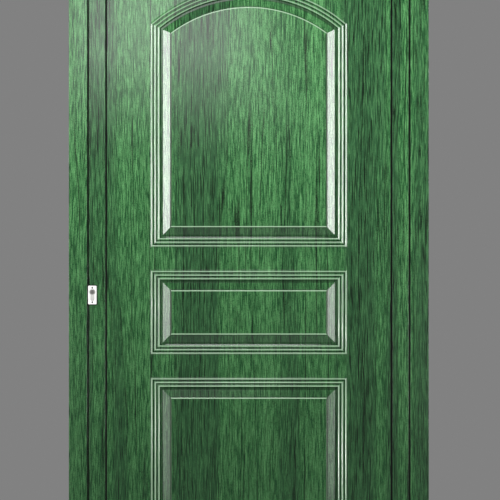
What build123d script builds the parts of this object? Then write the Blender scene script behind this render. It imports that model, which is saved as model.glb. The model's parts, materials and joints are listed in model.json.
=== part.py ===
from build123d import *
import math
import os

# Panelled front door in its frame.
# An inward-opening leaf of mitred hollow profiles holds an insulated panel with three
# moulded fields, the top one arched.  The leaf hangs on three hinges in a rebated frame
# and closes on a mortise lock with a latch, a dead bolt and a profile cylinder.
# Millimetres.  X runs to the right as seen from outside, Y runs into the house and Z up.
# The origin lies on the floor, midway between the jambs and midway through the frame.

# Door set
FRAME_WIDTH = 1000.0
FRAME_HEIGHT = 2100.0
FRAME_DEPTH = 60.0

# Frame and sash profiles, widths counted from the outside of the frame inwards
WALL = 2.0
WING = 3.0
FRAME_TUBE = 35.0
FRAME_FACE = 51.4
REBATE_GAP = 12.0
FACE_GAP = 4.2
SASH_FACE = 46.0
GLAZING_LIP = 18.0
FLANGE_OVERLAP = 8.0
OUTER_SEAL = 3.0
INNER_SEAL = 4.0
SEAL_CLEARANCE = 0.3
SEAL_WIDTH = 6.0
SEAL_SIDE_GAP = 1.0
SEAL_TAPER = 1.5
EDGE_CHAMFER = 0.8

# Threshold
THRESHOLD_HEIGHT = 20.0
THRESHOLD_CHAMFER = 8.0
THRESHOLD_WALL = 3.0
BOTTOM_GAP = 6.0
BOTTOM_SEAL_WIDTH = 7.0

# Infill panel and its glazing
PANEL_THICKNESS = 24.0
SKIN = 2.0
GASKET = 3.0
GASKET_SHOW = 4.2
GASKET_LIP = 0.8
GASKET_BED = 9.0
PACKER = 4.0
PACKER_LENGTH = 100.0
PACKER_INSET = 120.0
BEAD_CHAMFER = 4.0
BEAD_FOOT = 6.0
BEAD_HEEL = 12.0
BEAD_WALL = 2.0

# Moulded fields on the panel
SIDE_MARGIN = 124.0
TOP_MARGIN = 141.0
BOTTOM_MARGIN = 141.0
LOWER_FIELD = 550.0
MIDDLE_FIELD = 237.0
FIELD_RAIL = 61.5
ARCH_RISE = 102.0
REED_COUNT = 3
REED_PITCH = 10.0
REED_FOOT = 0.7
REED_RISE = 0.7
REED_SLOPE_WIDTH = 5.2
REED_FALL = 2.1
VALLEY_WIDTH = 5.3
VALLEY_DEPTH = 2.0
BEVEL_WIDTH = 21.0
BEVEL_RISE = 6.0
QUIRK_WIDTH = 1.0
QUIRK_RISE = 1.2

# Corner cleats
CLEAT_LENGTH = 90.0
CLEAT_WIDTH = 40.0
CLEAT_CLEARANCE = 0.25
CLEAT_WINDOW = 16.0
CLEAT_WINDOW_INSET = 10.0

# Hinges
HINGE_INSET = 250.0
KNUCKLE_RADIUS = 8.5
KNUCKLE_FRAME = 38.0
KNUCKLE_SASH = 34.0
KNUCKLE_GAP = 1.2
KNUCKLE_STANDOFF = 0.5
PIN_RADIUS = 4.0
PIN_END_GAP = 0.3
RUNNING_FIT = 0.05
BUSH_WALL = 1.4
BUSH_FLANGE = 0.8
BUSH_FLANGE_RADIUS = 7.5
CAP_HEIGHT = 4.0
CAP_CHAMFER = 2.5
HINGE_PLATE = 3.0
HINGE_FRAME_EDGE = 3.0
HINGE_WEB = 4.5
HINGE_SASH_PLATE = 46.0
HINGE_NOTCH_GAP = 0.8
HINGE_SCREW_SPREAD = 80.0
HINGE_SASH_SCREW_INSET = 30.0

# Lock, placed from the lock edge of the frame and from the floor
LOCK_PLANE = 5.0
LOCK_AXIS = 65.5
CYLINDER_HEIGHT = 1008.0
LEVER_SPACING = 85.0
CASE_THICKNESS = 16.0
CASE_WALL = 1.5
CASE_BACK_GAP = 1.0
CASE_BELOW = 42.0
CASE_ABOVE = 52.0
CASE_CLEARANCE = 0.3
FACEPLATE = 3.0
FACEPLATE_WIDTH = 20.0
FACEPLATE_TAB = 20.0
STRIKE = 3.0
STRIKE_WIDTH = 22.0
STRIKE_TAB = 18.0
BOLT_CLEARANCE = 1.5
SLIDE_CLEARANCE = 0.3
LATCH_THICKNESS = 12.0
LATCH_HEIGHT = 20.0
LATCH_HEAD = 20.0
LATCH_TRAVEL = 12.0
LATCH_RISE = 29.0
LATCH_NOSE = 2.5
LATCH_TAIL_HEIGHT = 8.0
LATCH_TAIL_THICKNESS = 4.0
LATCH_TAB = 2.5
DEAD_BOLT_HEIGHT = 28.0
DEAD_BOLT_LENGTH = 28.0
DEAD_BOLT_RISE = 38.0
DEAD_BOLT_CHAMFER = 1.0
LEVER_ANGLE = 40.0
FOLLOWER_RADIUS = 9.0
FOLLOWER_JOURNAL = 7.0
FOLLOWER_ARM_WIDTH = 4.0
SPINDLE = 8.0
SPRING_THICKNESS = 0.6
SPRING_WIDTH = 5.0
SPRING_RISE = 13.0
SPRING_BOW_DEPTH = 4.0

# Profile cylinder
BARREL_RADIUS = 8.5
BARREL_HEIGHT = 33.0
BARREL_WEB = 10.0
BARREL_CLEARANCE = 0.3
BARREL_PROUD = 0.6
PLUG_RADIUS = 6.5
CAM_WIDTH = 10.0
CAM_RING = 8.3
CAM_REACH = 12.5
CAM_LOBE = 7.0
CAM_CLEARANCE = 0.2
BRIDGE_HEIGHT = 9.0
KEYWAY_WIDTH = 1.6
KEYWAY_HEIGHT = 8.5
KEYWAY_DEPTH = 6.0
CYLINDER_SCREW_RADIUS = 2.5
CYLINDER_SCREW_RISE = 4.5
CYLINDER_SCREW_HEAD = 4.5
CYLINDER_SCREW_HEAD_HEIGHT = 1.6

# Outside escutcheon, inside handle and thumb-turn
ESCUTCHEON_WIDTH = 24.0
ESCUTCHEON_HEIGHT = 52.0
ESCUTCHEON = 3.0
ESCUTCHEON_ROUND = 2.5
ESCUTCHEON_EDGE = 0.8
ESCUTCHEON_PAD = 0.8
ESCUTCHEON_PAD_MARGIN = 2.0
ESCUTCHEON_DROP = 8.0
ESCUTCHEON_SCREW_INSET = 6.0
BACKPLATE_WIDTH = 30.0
BACKPLATE = 8.0
BACKPLATE_WALL = 2.0
BACKPLATE_BELOW = 52.0
BACKPLATE_ABOVE = 42.0
BACKPLATE_EDGE = 2.5
BACKPLATE_SCREW_INSET = 12.0
LEVER_NECK = 10.0
LEVER_NECK_SEAT = 3.0
LEVER_NECK_FIT = 0.15
LEVER_STANDOFF = 46.0
LEVER_LENGTH = 112.0
LEVER_GRIP_HEIGHT = 19.0
LEVER_GRIP_DEPTH = 12.0
LEVER_RETURN = 26.0
LEVER_BEND_RADIUS = 13.0
LEVER_END_CHAMFER = 2.0
TURN_COLLAR = 6.4
TURN_COLLAR_LENGTH = 5.0
TURN_LENGTH = 13.0
TURN_HEIGHT = 27.0
TURN_THICKNESS = 7.0
TURN_ROUND = 2.0

# Screws and wall fixings
SCREW_RADIUS = 2.1
SCREW_HEAD = 4.1
SCREW_HEAD_HEIGHT = 2.1
SCREW_LENGTH = 12.0
SMALL_SCREW_RADIUS = 1.4
SMALL_SCREW_HEAD = 2.4
SMALL_SCREW_HEAD_HEIGHT = 1.4
SMALL_SCREW_LENGTH = 9.0
BACKPLATE_SCREW_LENGTH = 15.0
SCREW_FIT = 0.1
CROSS_SHARE = 0.62
CROSS_WIDTH_SHARE = 0.2
CROSS_DEPTH_SHARE = 0.7
FIXING_RADIUS = 5.0
FIXING_OUTER = 200.0
FIXING_INNER = 700.0

# One overrun for every cut that has to pass through
OVERRUN = 5.0

# Depths, from outside (negative) to inside
OUTSIDE = -FRAME_DEPTH / 2
INSIDE = FRAME_DEPTH / 2
WING_BACK = OUTSIDE + WING
SASH_STEP = WING_BACK + OUTER_SEAL
FLANGE_FACE = INSIDE + INNER_SEAL
SASH_INSIDE = FLANGE_FACE + WING
PANEL_OUTSIDE = WING_BACK + GASKET
PANEL_INSIDE = PANEL_OUTSIDE + PANEL_THICKNESS
PANEL_MIDDLE = (PANEL_OUTSIDE + PANEL_INSIDE) / 2
BEAD_FACE = PANEL_INSIDE + GASKET

# Distances in from the outside of the frame
SASH_EDGE = FRAME_TUBE + REBATE_GAP
FACE_EDGE = FRAME_FACE + FACE_GAP
LIP_EDGE = FACE_EDGE + SASH_FACE
REBATE_EDGE = LIP_EDGE - GLAZING_LIP
FLANGE_EDGE = FRAME_TUBE - FLANGE_OVERLAP
PANEL_EDGE = REBATE_EDGE + PACKER
LOCK_X = -FRAME_WIDTH / 2 + LOCK_AXIS

# The leaf's lower edge, and the height that its lower profile is counted from
LEAF_BOTTOM = THRESHOLD_HEIGHT + BOTTOM_GAP
LEAF_DATUM = LEAF_BOTTOM - SASH_EDGE
HALF_WIDTH = FRAME_WIDTH / 2


def sketch_of(outline, chamber=None):
    """A profile's section: its outline, less its chamber."""
    section = make_face(Polyline(*outline, close=True))
    if chamber:
        section -= make_face(Polyline(*chamber, close=True))
    return section


def side_plane(side):
    """The plane that carries a section for one side: its x counts inwards, its y is depth."""
    planes = {
        "left": Plane((-HALF_WIDTH, 0, LEAF_DATUM), x_dir=(1, 0, 0), z_dir=(0, 0, 1)),
        "right": Plane((HALF_WIDTH, 0, FRAME_HEIGHT), x_dir=(-1, 0, 0), z_dir=(0, 0, -1)),
        "top": Plane((-HALF_WIDTH, 0, FRAME_HEIGHT), x_dir=(0, 0, -1), z_dir=(1, 0, 0)),
        "bottom": Plane((HALF_WIDTH, 0, LEAF_DATUM), x_dir=(0, 0, 1), z_dir=(-1, 0, 0)),
    }
    return planes[side]


def mitre_prism(side, foot, foot_edge):
    """The space that one mitred side may fill.  An upright ends square at the height foot, out
    to foot_edge, and runs on from there along the mitre; with no foot_edge it is square all over."""
    reach = LIP_EDGE + FRAME_FACE
    inner = HALF_WIDTH - reach
    crown = (HALF_WIDTH + OVERRUN, FRAME_HEIGHT + OVERRUN)
    throat = (inner, FRAME_HEIGHT - reach)
    if side == "top":
        points = [crown, throat, (-throat[0], throat[1]), (-crown[0], crown[1])]
    elif side == "bottom":
        sill, high = LEAF_DATUM, LEAF_DATUM + reach
        points = [(HALF_WIDTH, sill), (inner, high), (-inner, high), (-HALF_WIDTH, sill)]
    else:
        points = [(HALF_WIDTH + OVERRUN, foot), crown, throat]
        if foot_edge:
            points += [(inner, foot + reach - foot_edge), (HALF_WIDTH - foot_edge, foot)]
        else:
            points.append((inner, foot))
        hand = 1 if side == "right" else -1
        points = [(hand * x, z) for x, z in points]
    return extrude(Plane.XZ * make_face(Polyline(*points, close=True)), 2 * FRAME_DEPTH, both=True)


def mitred_bar(side, section, foot=LEAF_BOTTOM, foot_edge=SASH_EDGE):
    """One side of a mitred frame, from its section."""
    length = FRAME_WIDTH if side in ("top", "bottom") else FRAME_HEIGHT - LEAF_DATUM
    bar = side_plane(side) * extrude(section, length)
    return bar & mitre_prism(side, foot, foot_edge)


def block(x0, x1, y0, y1, z0, z1):
    """A box between two corners."""
    return Pos((x0 + x1) / 2, (y0 + y1) / 2, (z0 + z1) / 2) * Box(x1 - x0, y1 - y0, z1 - z0)


def rod(radius, start, end):
    """A round bar between two points."""
    axis = Vector(*end) - Vector(*start)
    return Plane(start, z_dir=axis) * extrude(Circle(radius), axis.length)


def from_lock_edge(distance):
    """X of a point that far in from the lock edge of the frame."""
    return -HALF_WIDTH + distance


# Screws


def countersunk_screw(radius, head, head_height, length):
    """A countersunk screw along -Z with its head's face at the origin."""
    profile = [(0, 0), (head, 0), (radius, -head_height), (radius, -length), (0, -length)]
    screw = revolve(Plane.XZ * make_face(Polyline(*profile, close=True)), Axis.Z)
    span, width, depth = 2 * head * CROSS_SHARE, head * CROSS_WIDTH_SHARE, head_height * CROSS_DEPTH_SHARE
    slot = Pos(0, 0, -depth / 2) * Box(span, width, depth)
    return screw - slot - Rot(0, 0, 90) * slot


def countersunk_hole(radius, head, head_height, length):
    """The hole that such a screw sits in, with its fit and an open mouth."""
    mouth, bore = head + SCREW_FIT, radius + SCREW_FIT
    profile = [(0, OVERRUN), (mouth, OVERRUN), (mouth, 0), (bore, -head_height), (bore, -length - OVERRUN)]
    profile.append((0, -length - OVERRUN))
    return revolve(Plane.XZ * make_face(Polyline(*profile, close=True)), Axis.Z)


PLATE_SCREW = (SCREW_RADIUS, SCREW_HEAD, SCREW_HEAD_HEIGHT, SCREW_LENGTH)
SMALL_SCREW = (SMALL_SCREW_RADIUS, SMALL_SCREW_HEAD, SMALL_SCREW_HEAD_HEIGHT, SMALL_SCREW_LENGTH)
BACKPLATE_SCREW = (SMALL_SCREW_RADIUS, SMALL_SCREW_HEAD, SMALL_SCREW_HEAD_HEIGHT, BACKPLATE_SCREW_LENGTH)


def screw_places(points, outward):
    """Planes at those points, each facing outward."""
    return [Plane(point, z_dir=outward) for point in points]


def screws_at(places, size):
    return Compound([(place * countersunk_screw(*size)).solid() for place in places])


def cut_screws(piece, places, size):
    for place in places:
        piece -= place * countersunk_hole(*size)
    return piece


# Outer frame


def frame_section():
    """Hollow jamb tube with the weather wing that the leaf closes behind."""
    outline = [
        (0, OUTSIDE),
        (FRAME_FACE - EDGE_CHAMFER, OUTSIDE),
        (FRAME_FACE, OUTSIDE + EDGE_CHAMFER),
        (FRAME_FACE, WING_BACK),
        (FRAME_TUBE, WING_BACK),
        (FRAME_TUBE, INSIDE),
        (0, INSIDE),
    ]
    low, high = OUTSIDE + WALL, INSIDE - WALL
    inner = FRAME_TUBE - WALL
    return sketch_of(outline, [(WALL, low), (inner, low), (inner, high), (WALL, high)])


def fixing_heights():
    return [FIXING_OUTER, FIXING_INNER, FRAME_HEIGHT - FIXING_INNER, FRAME_HEIGHT - FIXING_OUTER]


def frame_jamb(side):
    """A jamb, mitred at the head and square at the floor, bored for its wall fixings."""
    jamb = mitred_bar(side, frame_section(), foot=0, foot_edge=None)
    sign = 1 if side == "right" else -1
    for height in fixing_heights():
        start = (sign * (HALF_WIDTH + OVERRUN), 0, height)
        end = (sign * (HALF_WIDTH - FRAME_TUBE - OVERRUN), 0, height)
        jamb -= rod(FIXING_RADIUS, start, end)
    return jamb


def frame_lock_jamb():
    """The lock jamb, with pockets for the latch and the dead bolt behind the strike."""
    jamb = frame_jamb("left")
    for pocket in bolt_pockets(FRAME_TUBE - WALL - OVERRUN, FRAME_TUBE + OVERRUN):
        jamb -= pocket
    return cut_screws(jamb, strike_screw_places(), PLATE_SCREW)


def frame_hinge_jamb():
    return cut_screws(frame_jamb("right"), hinge_frame_screw_places(), PLATE_SCREW)


def frame_head():
    return mitred_bar("top", frame_section())


def threshold():
    """Low sill between the jambs, sloped on both sides, with a hollow core."""
    x_end = HALF_WIDTH - FRAME_TUBE
    shoulder = THRESHOLD_HEIGHT - THRESHOLD_CHAMFER
    outline = [
        (WING_BACK, 0),
        (INSIDE, 0),
        (INSIDE, shoulder),
        (INSIDE - THRESHOLD_CHAMFER, THRESHOLD_HEIGHT),
        (WING_BACK + THRESHOLD_CHAMFER, THRESHOLD_HEIGHT),
        (WING_BACK, shoulder),
    ]
    low, high = THRESHOLD_WALL, THRESHOLD_HEIGHT - THRESHOLD_WALL
    near, far = WING_BACK + THRESHOLD_CHAMFER, INSIDE - THRESHOLD_CHAMFER
    chamber = [(near, low), (far, low), (far, high), (near, high)]
    plane = Plane((-x_end, 0, 0), x_dir=(0, 1, 0), z_dir=(1, 0, 0))
    return plane * extrude(sketch_of(outline, chamber), 2 * x_end)


def outer_rebate_seal():
    """Seal behind the weather wing, in a joint that shows as a dark line round the leaf."""
    near, far = FACE_EDGE - SEAL_SIDE_GAP - SEAL_WIDTH, FACE_EDGE - SEAL_SIDE_GAP
    rim = SASH_STEP - SEAL_CLEARANCE
    section = [(near, WING_BACK), (far, WING_BACK), (far - SEAL_TAPER, rim), (near + SEAL_TAPER, rim)]
    seal = mitred_bar("top", sketch_of(section))
    for side in ("left", "right"):
        seal += mitred_bar(side, sketch_of(section), foot=THRESHOLD_HEIGHT, foot_edge=None)
    return seal


def corner_cleat(tube, depth, corner, hand, up):
    """An L-shaped cleat in the chambers of two mitred tubes, counted from their outer corner, with a
    window in each arm."""
    near, far = WALL + CLEAT_CLEARANCE, tube - WALL - CLEAT_CLEARANCE
    outline = sketch_of(
        [
            (near, near),
            (CLEAT_LENGTH, near),
            (CLEAT_LENGTH, far),
            (far, far),
            (far, CLEAT_LENGTH),
            (near, CLEAT_LENGTH),
        ]
    )
    along, across = CLEAT_LENGTH - CLEAT_WINDOW_INSET - CLEAT_WINDOW / 2, (near + far) / 2
    for place in ((along, across), (across, along)):
        outline -= Pos(*place) * Rectangle(CLEAT_WINDOW, CLEAT_WINDOW)
    plane = Plane((corner[0], depth, corner[1]), x_dir=(-hand, 0, 0), z_dir=(0, hand * up, 0))
    return (plane * extrude(outline, CLEAT_WIDTH / 2, both=True)).solid()


def frame_corner_cleats():
    return Compound(
        [corner_cleat(FRAME_TUBE, 0, (hand * HALF_WIDTH, FRAME_HEIGHT), hand, -1) for hand in (-1, 1)]
    )


# Sash


def sash_section(flange):
    """Hollow sash tube with an outside glazing lip and, where it closes on the frame, an inside flange."""
    outline = [
        (FACE_EDGE + EDGE_CHAMFER, OUTSIDE),
        (LIP_EDGE - EDGE_CHAMFER, OUTSIDE),
        (LIP_EDGE, OUTSIDE + EDGE_CHAMFER),
        (LIP_EDGE, WING_BACK),
        (REBATE_EDGE, WING_BACK),
        (REBATE_EDGE, SASH_INSIDE),
    ]
    if flange:
        outline += [
            (FLANGE_EDGE + EDGE_CHAMFER, SASH_INSIDE),
            (FLANGE_EDGE, SASH_INSIDE - EDGE_CHAMFER),
            (FLANGE_EDGE, FLANGE_FACE),
            (SASH_EDGE, FLANGE_FACE),
        ]
    else:
        outline.append((SASH_EDGE, SASH_INSIDE))
    outline += [(SASH_EDGE, SASH_STEP), (FACE_EDGE, SASH_STEP), (FACE_EDGE, OUTSIDE + EDGE_CHAMFER)]
    near, far = SASH_EDGE + WALL, REBATE_EDGE - WALL
    chamber = [
        (FACE_EDGE + WALL, OUTSIDE + WALL),
        (far, OUTSIDE + WALL),
        (far, SASH_INSIDE - WALL),
        (near, SASH_INSIDE - WALL),
        (near, SASH_STEP + WALL),
        (FACE_EDGE + WALL, SASH_STEP + WALL),
    ]
    return sketch_of(outline, chamber)


def sash_lock_stile():
    """The lock stile, mortised for the lock and bored for the cylinder, spindle and plate screws."""
    stile = mitred_bar("left", sash_section(True))
    low, high = case_span()
    half = CASE_THICKNESS / 2 + CASE_CLEARANCE
    mortise = (from_lock_edge(SASH_EDGE - OVERRUN), from_lock_edge(SASH_EDGE + WALL + CASE_CLEARANCE))
    stile -= block(
        *mortise, LOCK_PLANE - half, LOCK_PLANE + half, low - CASE_CLEARANCE, high + CASE_CLEARANCE
    )
    stile -= barrel(BARREL_CLEARANCE, OUTSIDE - OVERRUN, SASH_INSIDE + OVERRUN)
    spindle = spindle_height()
    stile -= rod(FOLLOWER_JOURNAL, (LOCK_X, LOCK_PLANE, spindle), (LOCK_X, SASH_INSIDE + OVERRUN, spindle))
    stile = cut_screws(stile, escutcheon_screw_places(), SMALL_SCREW)
    stile = cut_screws(stile, backplate_screw_places(), BACKPLATE_SCREW)
    return cut_screws(stile, faceplate_screw_places(), PLATE_SCREW)


def sash_hinge_stile():
    return cut_screws(mitred_bar("right", sash_section(True)), hinge_sash_screw_places(), PLATE_SCREW)


def sash_top_rail():
    return mitred_bar("top", sash_section(True))


def sash_bottom_rail():
    return mitred_bar("bottom", sash_section(False))


def sash_corner_cleats():
    tube, depth = REBATE_EDGE - SASH_EDGE, (SASH_STEP + SASH_INSIDE) / 2
    edge = HALF_WIDTH - SASH_EDGE
    ends = ((FRAME_HEIGHT - SASH_EDGE, -1), (LEAF_BOTTOM, 1))
    return Compound(
        [corner_cleat(tube, depth, (hand * edge, z), hand, up) for hand in (-1, 1) for z, up in ends]
    )


def inner_rebate_seal():
    """Seal on the leaf's flange that meets the inside face of the frame."""
    near, far = FLANGE_EDGE + SEAL_SIDE_GAP, FLANGE_EDGE + SEAL_SIDE_GAP + SEAL_WIDTH
    rim = INSIDE + SEAL_CLEARANCE
    section = [(near + SEAL_TAPER, rim), (far - SEAL_TAPER, rim), (far, FLANGE_FACE), (near, FLANGE_FACE)]
    seal = mitred_bar("top", sketch_of(section))
    for side in ("left", "right"):
        seal += mitred_bar(side, sketch_of(section))
    return seal


def bottom_seal():
    """Strip under the bottom rail that closes the gap over the threshold."""
    x_end = HALF_WIDTH - SASH_EDGE
    half, rim = BOTTOM_SEAL_WIDTH / 2, THRESHOLD_HEIGHT + SEAL_CLEARANCE
    section = [(-half, LEAF_BOTTOM), (half, LEAF_BOTTOM), (half - SEAL_TAPER, rim), (SEAL_TAPER - half, rim)]
    plane = Plane((-x_end, 0, 0), x_dir=(0, 1, 0), z_dir=(1, 0, 0))
    return plane * extrude(sketch_of(section), 2 * x_end)


# Infill panel


def field_spans():
    """Lowest and highest point of each moulded field, from the bottom one up."""
    base = LEAF_DATUM + LIP_EDGE + BOTTOM_MARGIN
    middle = base + LOWER_FIELD + FIELD_RAIL
    top = middle + MIDDLE_FIELD + FIELD_RAIL
    crown = FRAME_HEIGHT - LIP_EDGE - TOP_MARGIN
    return [(base, base + LOWER_FIELD, 0), (middle, middle + MIDDLE_FIELD, 0), (top, crown, ARCH_RISE)]


def field_outline(span, inset, depth):
    """The edge of a field, moved in by inset, as a loop at one depth.  A rise gives it an arched top."""
    low, high, rise = span
    half = HALF_WIDTH - LIP_EDGE - SIDE_MARGIN
    x, z0 = half - inset, low + inset
    if rise:
        radius = (half**2 + rise**2) / (2 * rise)
        centre = high - radius
        spring = centre + math.sqrt((radius - inset) ** 2 - x**2)
        top = ThreePointArc((x, spring), (0, high - inset), (-x, spring))
    else:
        spring = high - inset
        top = Line((x, spring), (-x, spring))
    loop = Line((-x, z0), (x, z0)) + Line((x, z0), (x, spring)) + top + Line((-x, spring), (-x, z0))
    return Plane((0, depth, 0), x_dir=(1, 0, 0), z_dir=(0, -1, 0)) * loop


def moulding_profile():
    """The moulding from the field's edge inwards, as (inset, height): reeds, valley, bevel and quirk.
    Each reed steps up, slopes on as steeply as the bevel does and falls back to the face."""
    slope = BEVEL_RISE / BEVEL_WIDTH
    points = [(0, 0)]
    for reed in range(REED_COUNT):
        inset = reed * REED_PITCH
        if reed > 0:
            points.append((inset, 0))
        inset += REED_FOOT
        points.append((inset, REED_RISE))
        inset += REED_SLOPE_WIDTH
        points.append((inset, REED_RISE + slope * REED_SLOPE_WIDTH))
        inset += REED_FALL
        points.append((inset, 0))
    inset += VALLEY_DEPTH
    points.append((inset, -VALLEY_DEPTH))
    inset += VALLEY_WIDTH
    points.append((inset, -VALLEY_DEPTH))
    inset += BEVEL_WIDTH
    points.append((inset, BEVEL_RISE - VALLEY_DEPTH))
    inset += QUIRK_WIDTH
    points.append((inset, BEVEL_RISE - VALLEY_DEPTH + QUIRK_RISE))
    return points


def moulded_block(front):
    """The outside half of the panel, from the plane at depth front to its middle, with its mouldings."""
    x_end = HALF_WIDTH - PANEL_EDGE
    slab = block(-x_end, x_end, front, PANEL_MIDDLE, LEAF_DATUM + PANEL_EDGE, FRAME_HEIGHT - PANEL_EDGE)
    for span in field_spans():
        loops = [field_outline(span, 0, PANEL_MIDDLE)]
        loops += [field_outline(span, inset, front - height) for inset, height in moulding_profile()]
        hole = Solid.make_loft([loop.wire() for loop in loops[:2]], ruled=True)
        slab = slab - hole + Solid.make_loft([loop.wire() for loop in loops], ruled=True)
    return slab


def to_inside(piece):
    """The same piece on the inside of the panel."""
    return mirror(piece, Plane((0, PANEL_MIDDLE, 0), z_dir=(0, 1, 0)))


def panel_core(inner_block):
    return inner_block + to_inside(inner_block)


def glazing_ring(section):
    """A seal that runs right round the infill panel."""
    ring = mitred_bar("top", section)
    for side in ("left", "bottom", "right"):
        ring += mitred_bar(side, section)
    return ring


def panel_outer_gasket():
    """Wedge gasket behind the leaf's lip, thin where it ends on the panel."""
    near, far = LIP_EDGE - GASKET_BED, LIP_EDGE + GASKET_SHOW
    section = [
        (near, WING_BACK),
        (LIP_EDGE, WING_BACK),
        (far, PANEL_OUTSIDE - GASKET_LIP),
        (far, PANEL_OUTSIDE),
        (near, PANEL_OUTSIDE),
    ]
    return glazing_ring(sketch_of(section))


def panel_inner_gasket():
    """Wedge gasket between the panel and its beads."""
    near, far = LIP_EDGE - BEAD_FOOT, LIP_EDGE + GASKET_SHOW
    section = [
        (near, PANEL_INSIDE),
        (far, PANEL_INSIDE),
        (far, PANEL_INSIDE + GASKET_LIP),
        (LIP_EDGE, BEAD_FACE),
        (near, BEAD_FACE),
    ]
    return glazing_ring(sketch_of(section))


def glazing_bead(side):
    """Channel bead that holds the panel from inside: a face, a web on the gasket, a heel on the tube."""
    top, web = SASH_INSIDE, LIP_EDGE - BEAD_WALL
    inner_chamfer = BEAD_CHAMFER - BEAD_WALL * math.tan(math.pi / 8)
    section = [
        (REBATE_EDGE, top),
        (LIP_EDGE - BEAD_CHAMFER, top),
        (LIP_EDGE, top - BEAD_CHAMFER),
        (LIP_EDGE, BEAD_FACE),
        (LIP_EDGE - BEAD_FOOT, BEAD_FACE),
        (LIP_EDGE - BEAD_FOOT, BEAD_FACE + BEAD_WALL),
        (web, BEAD_FACE + BEAD_WALL),
        (web, top - BEAD_WALL - inner_chamfer),
        (web - inner_chamfer, top - BEAD_WALL),
        (REBATE_EDGE + BEAD_WALL, top - BEAD_WALL),
        (REBATE_EDGE + BEAD_WALL, top - BEAD_HEEL),
        (REBATE_EDGE, top - BEAD_HEEL),
    ]
    return mitred_bar(side, sketch_of(section))


def panel_packers():
    """Packing blocks between the panel's edge and the sash tube: two under it and two at each side."""
    packers = []
    low, high = LEAF_DATUM + REBATE_EDGE, LEAF_DATUM + PANEL_EDGE
    for sign in (-1, 1):
        xs = sorted(sign * (HALF_WIDTH - PANEL_EDGE - PACKER_INSET - along) for along in (0, PACKER_LENGTH))
        packers.append(block(*xs, PANEL_OUTSIDE, PANEL_INSIDE, low, high))
        xs = sorted(sign * (HALF_WIDTH - edge) for edge in (REBATE_EDGE, PANEL_EDGE))
        for start in (high + PACKER_INSET, FRAME_HEIGHT - PANEL_EDGE - PACKER_INSET - PACKER_LENGTH):
            packers.append(block(*xs, PANEL_OUTSIDE, PANEL_INSIDE, start, start + PACKER_LENGTH))
    return Compound([packer.solid() for packer in packers])


# Hinges, on the right-hand jamb, with their axis over the edge of the leaf's flange


HINGE_X = HALF_WIDTH - FLANGE_EDGE
HINGE_Y = SASH_INSIDE + KNUCKLE_RADIUS + KNUCKLE_STANDOFF
HINGE_HALF = KNUCKLE_FRAME / 2 + KNUCKLE_GAP + KNUCKLE_SASH
HINGE_HEIGHTS = (HINGE_INSET, FRAME_HEIGHT / 2, FRAME_HEIGHT - HINGE_INSET)


def knuckle(low, high, bore):
    return rod(KNUCKLE_RADIUS, (HINGE_X, HINGE_Y, low), (HINGE_X, HINGE_Y, high)) - rod(
        bore, (HINGE_X, HINGE_Y, low - OVERRUN), (HINGE_X, HINGE_Y, high + OVERRUN)
    )


def sash_knuckle_spans(height):
    near = KNUCKLE_FRAME / 2 + KNUCKLE_GAP
    return [(height - HINGE_HALF, height - near), (height + near, height + HINGE_HALF)]


def hinge_frame_leaf(height):
    """Plate on the frame's inside face, with a web up to the middle knuckle."""
    half = KNUCKLE_FRAME / 2
    edge, web = HALF_WIDTH - HINGE_FRAME_EDGE, HINGE_X + KNUCKLE_RADIUS - HINGE_WEB
    plate = block(web, edge, INSIDE, INSIDE + HINGE_PLATE, height - HINGE_HALF, height + HINGE_HALF)
    leaf = plate + block(web, HINGE_X + KNUCKLE_RADIUS, INSIDE, HINGE_Y, height - half, height + half)
    bore = PIN_RADIUS + RUNNING_FIT
    leaf -= rod(bore, (HINGE_X, HINGE_Y, height - HINGE_HALF), (HINGE_X, HINGE_Y, height + HINGE_HALF))
    leaf += knuckle(height - half, height + half, bore)
    return cut_screws(leaf, hinge_frame_screw_places([height]), PLATE_SCREW)


def hinge_sash_leaf(height):
    """Plate on the leaf's inside face, notched for the middle knuckle, with a knuckle at each end."""
    plate = block(
        HINGE_X - HINGE_SASH_PLATE, HINGE_X, SASH_INSIDE, SASH_INSIDE + HINGE_PLATE,
        height - HINGE_HALF, height + HINGE_HALF,
    )
    notch = KNUCKLE_FRAME / 2 + KNUCKLE_GAP
    clear = KNUCKLE_RADIUS + HINGE_NOTCH_GAP
    plate -= block(
        HINGE_X - clear, HINGE_X + OVERRUN, SASH_INSIDE - OVERRUN, HINGE_Y, height - notch, height + notch
    )
    bore = PIN_RADIUS + 2 * RUNNING_FIT + BUSH_WALL
    for low, high in sash_knuckle_spans(height):
        plate -= rod(KNUCKLE_RADIUS, (HINGE_X, HINGE_Y, low), (HINGE_X, HINGE_Y, high))
        plate += knuckle(low, high, bore)
    return cut_screws(plate, hinge_sash_screw_places([height]), PLATE_SCREW)


def hinge_pin(height):
    reach = HINGE_HALF - PIN_END_GAP
    return rod(PIN_RADIUS, (HINGE_X, HINGE_Y, height - reach), (HINGE_X, HINGE_Y, height + reach))


def hinge_bushes():
    """Flanged bushes in the leaf's knuckles, with their flanges between the knuckles."""
    bushes = []
    inner, outer = PIN_RADIUS + RUNNING_FIT, PIN_RADIUS + RUNNING_FIT + BUSH_WALL
    for height in HINGE_HEIGHTS:
        for (low, high), flange_up in zip(sash_knuckle_spans(height), (True, False)):
            end = high if flange_up else low
            tip = end + BUSH_FLANGE if flange_up else end - BUSH_FLANGE
            bush = rod(outer, (HINGE_X, HINGE_Y, low), (HINGE_X, HINGE_Y, high))
            bush += rod(BUSH_FLANGE_RADIUS, (HINGE_X, HINGE_Y, end), (HINGE_X, HINGE_Y, tip))
            bush -= rod(inner, (HINGE_X, HINGE_Y, low - OVERRUN), (HINGE_X, HINGE_Y, high + OVERRUN))
            bushes.append(bush.solid())
    return Compound(bushes)


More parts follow.
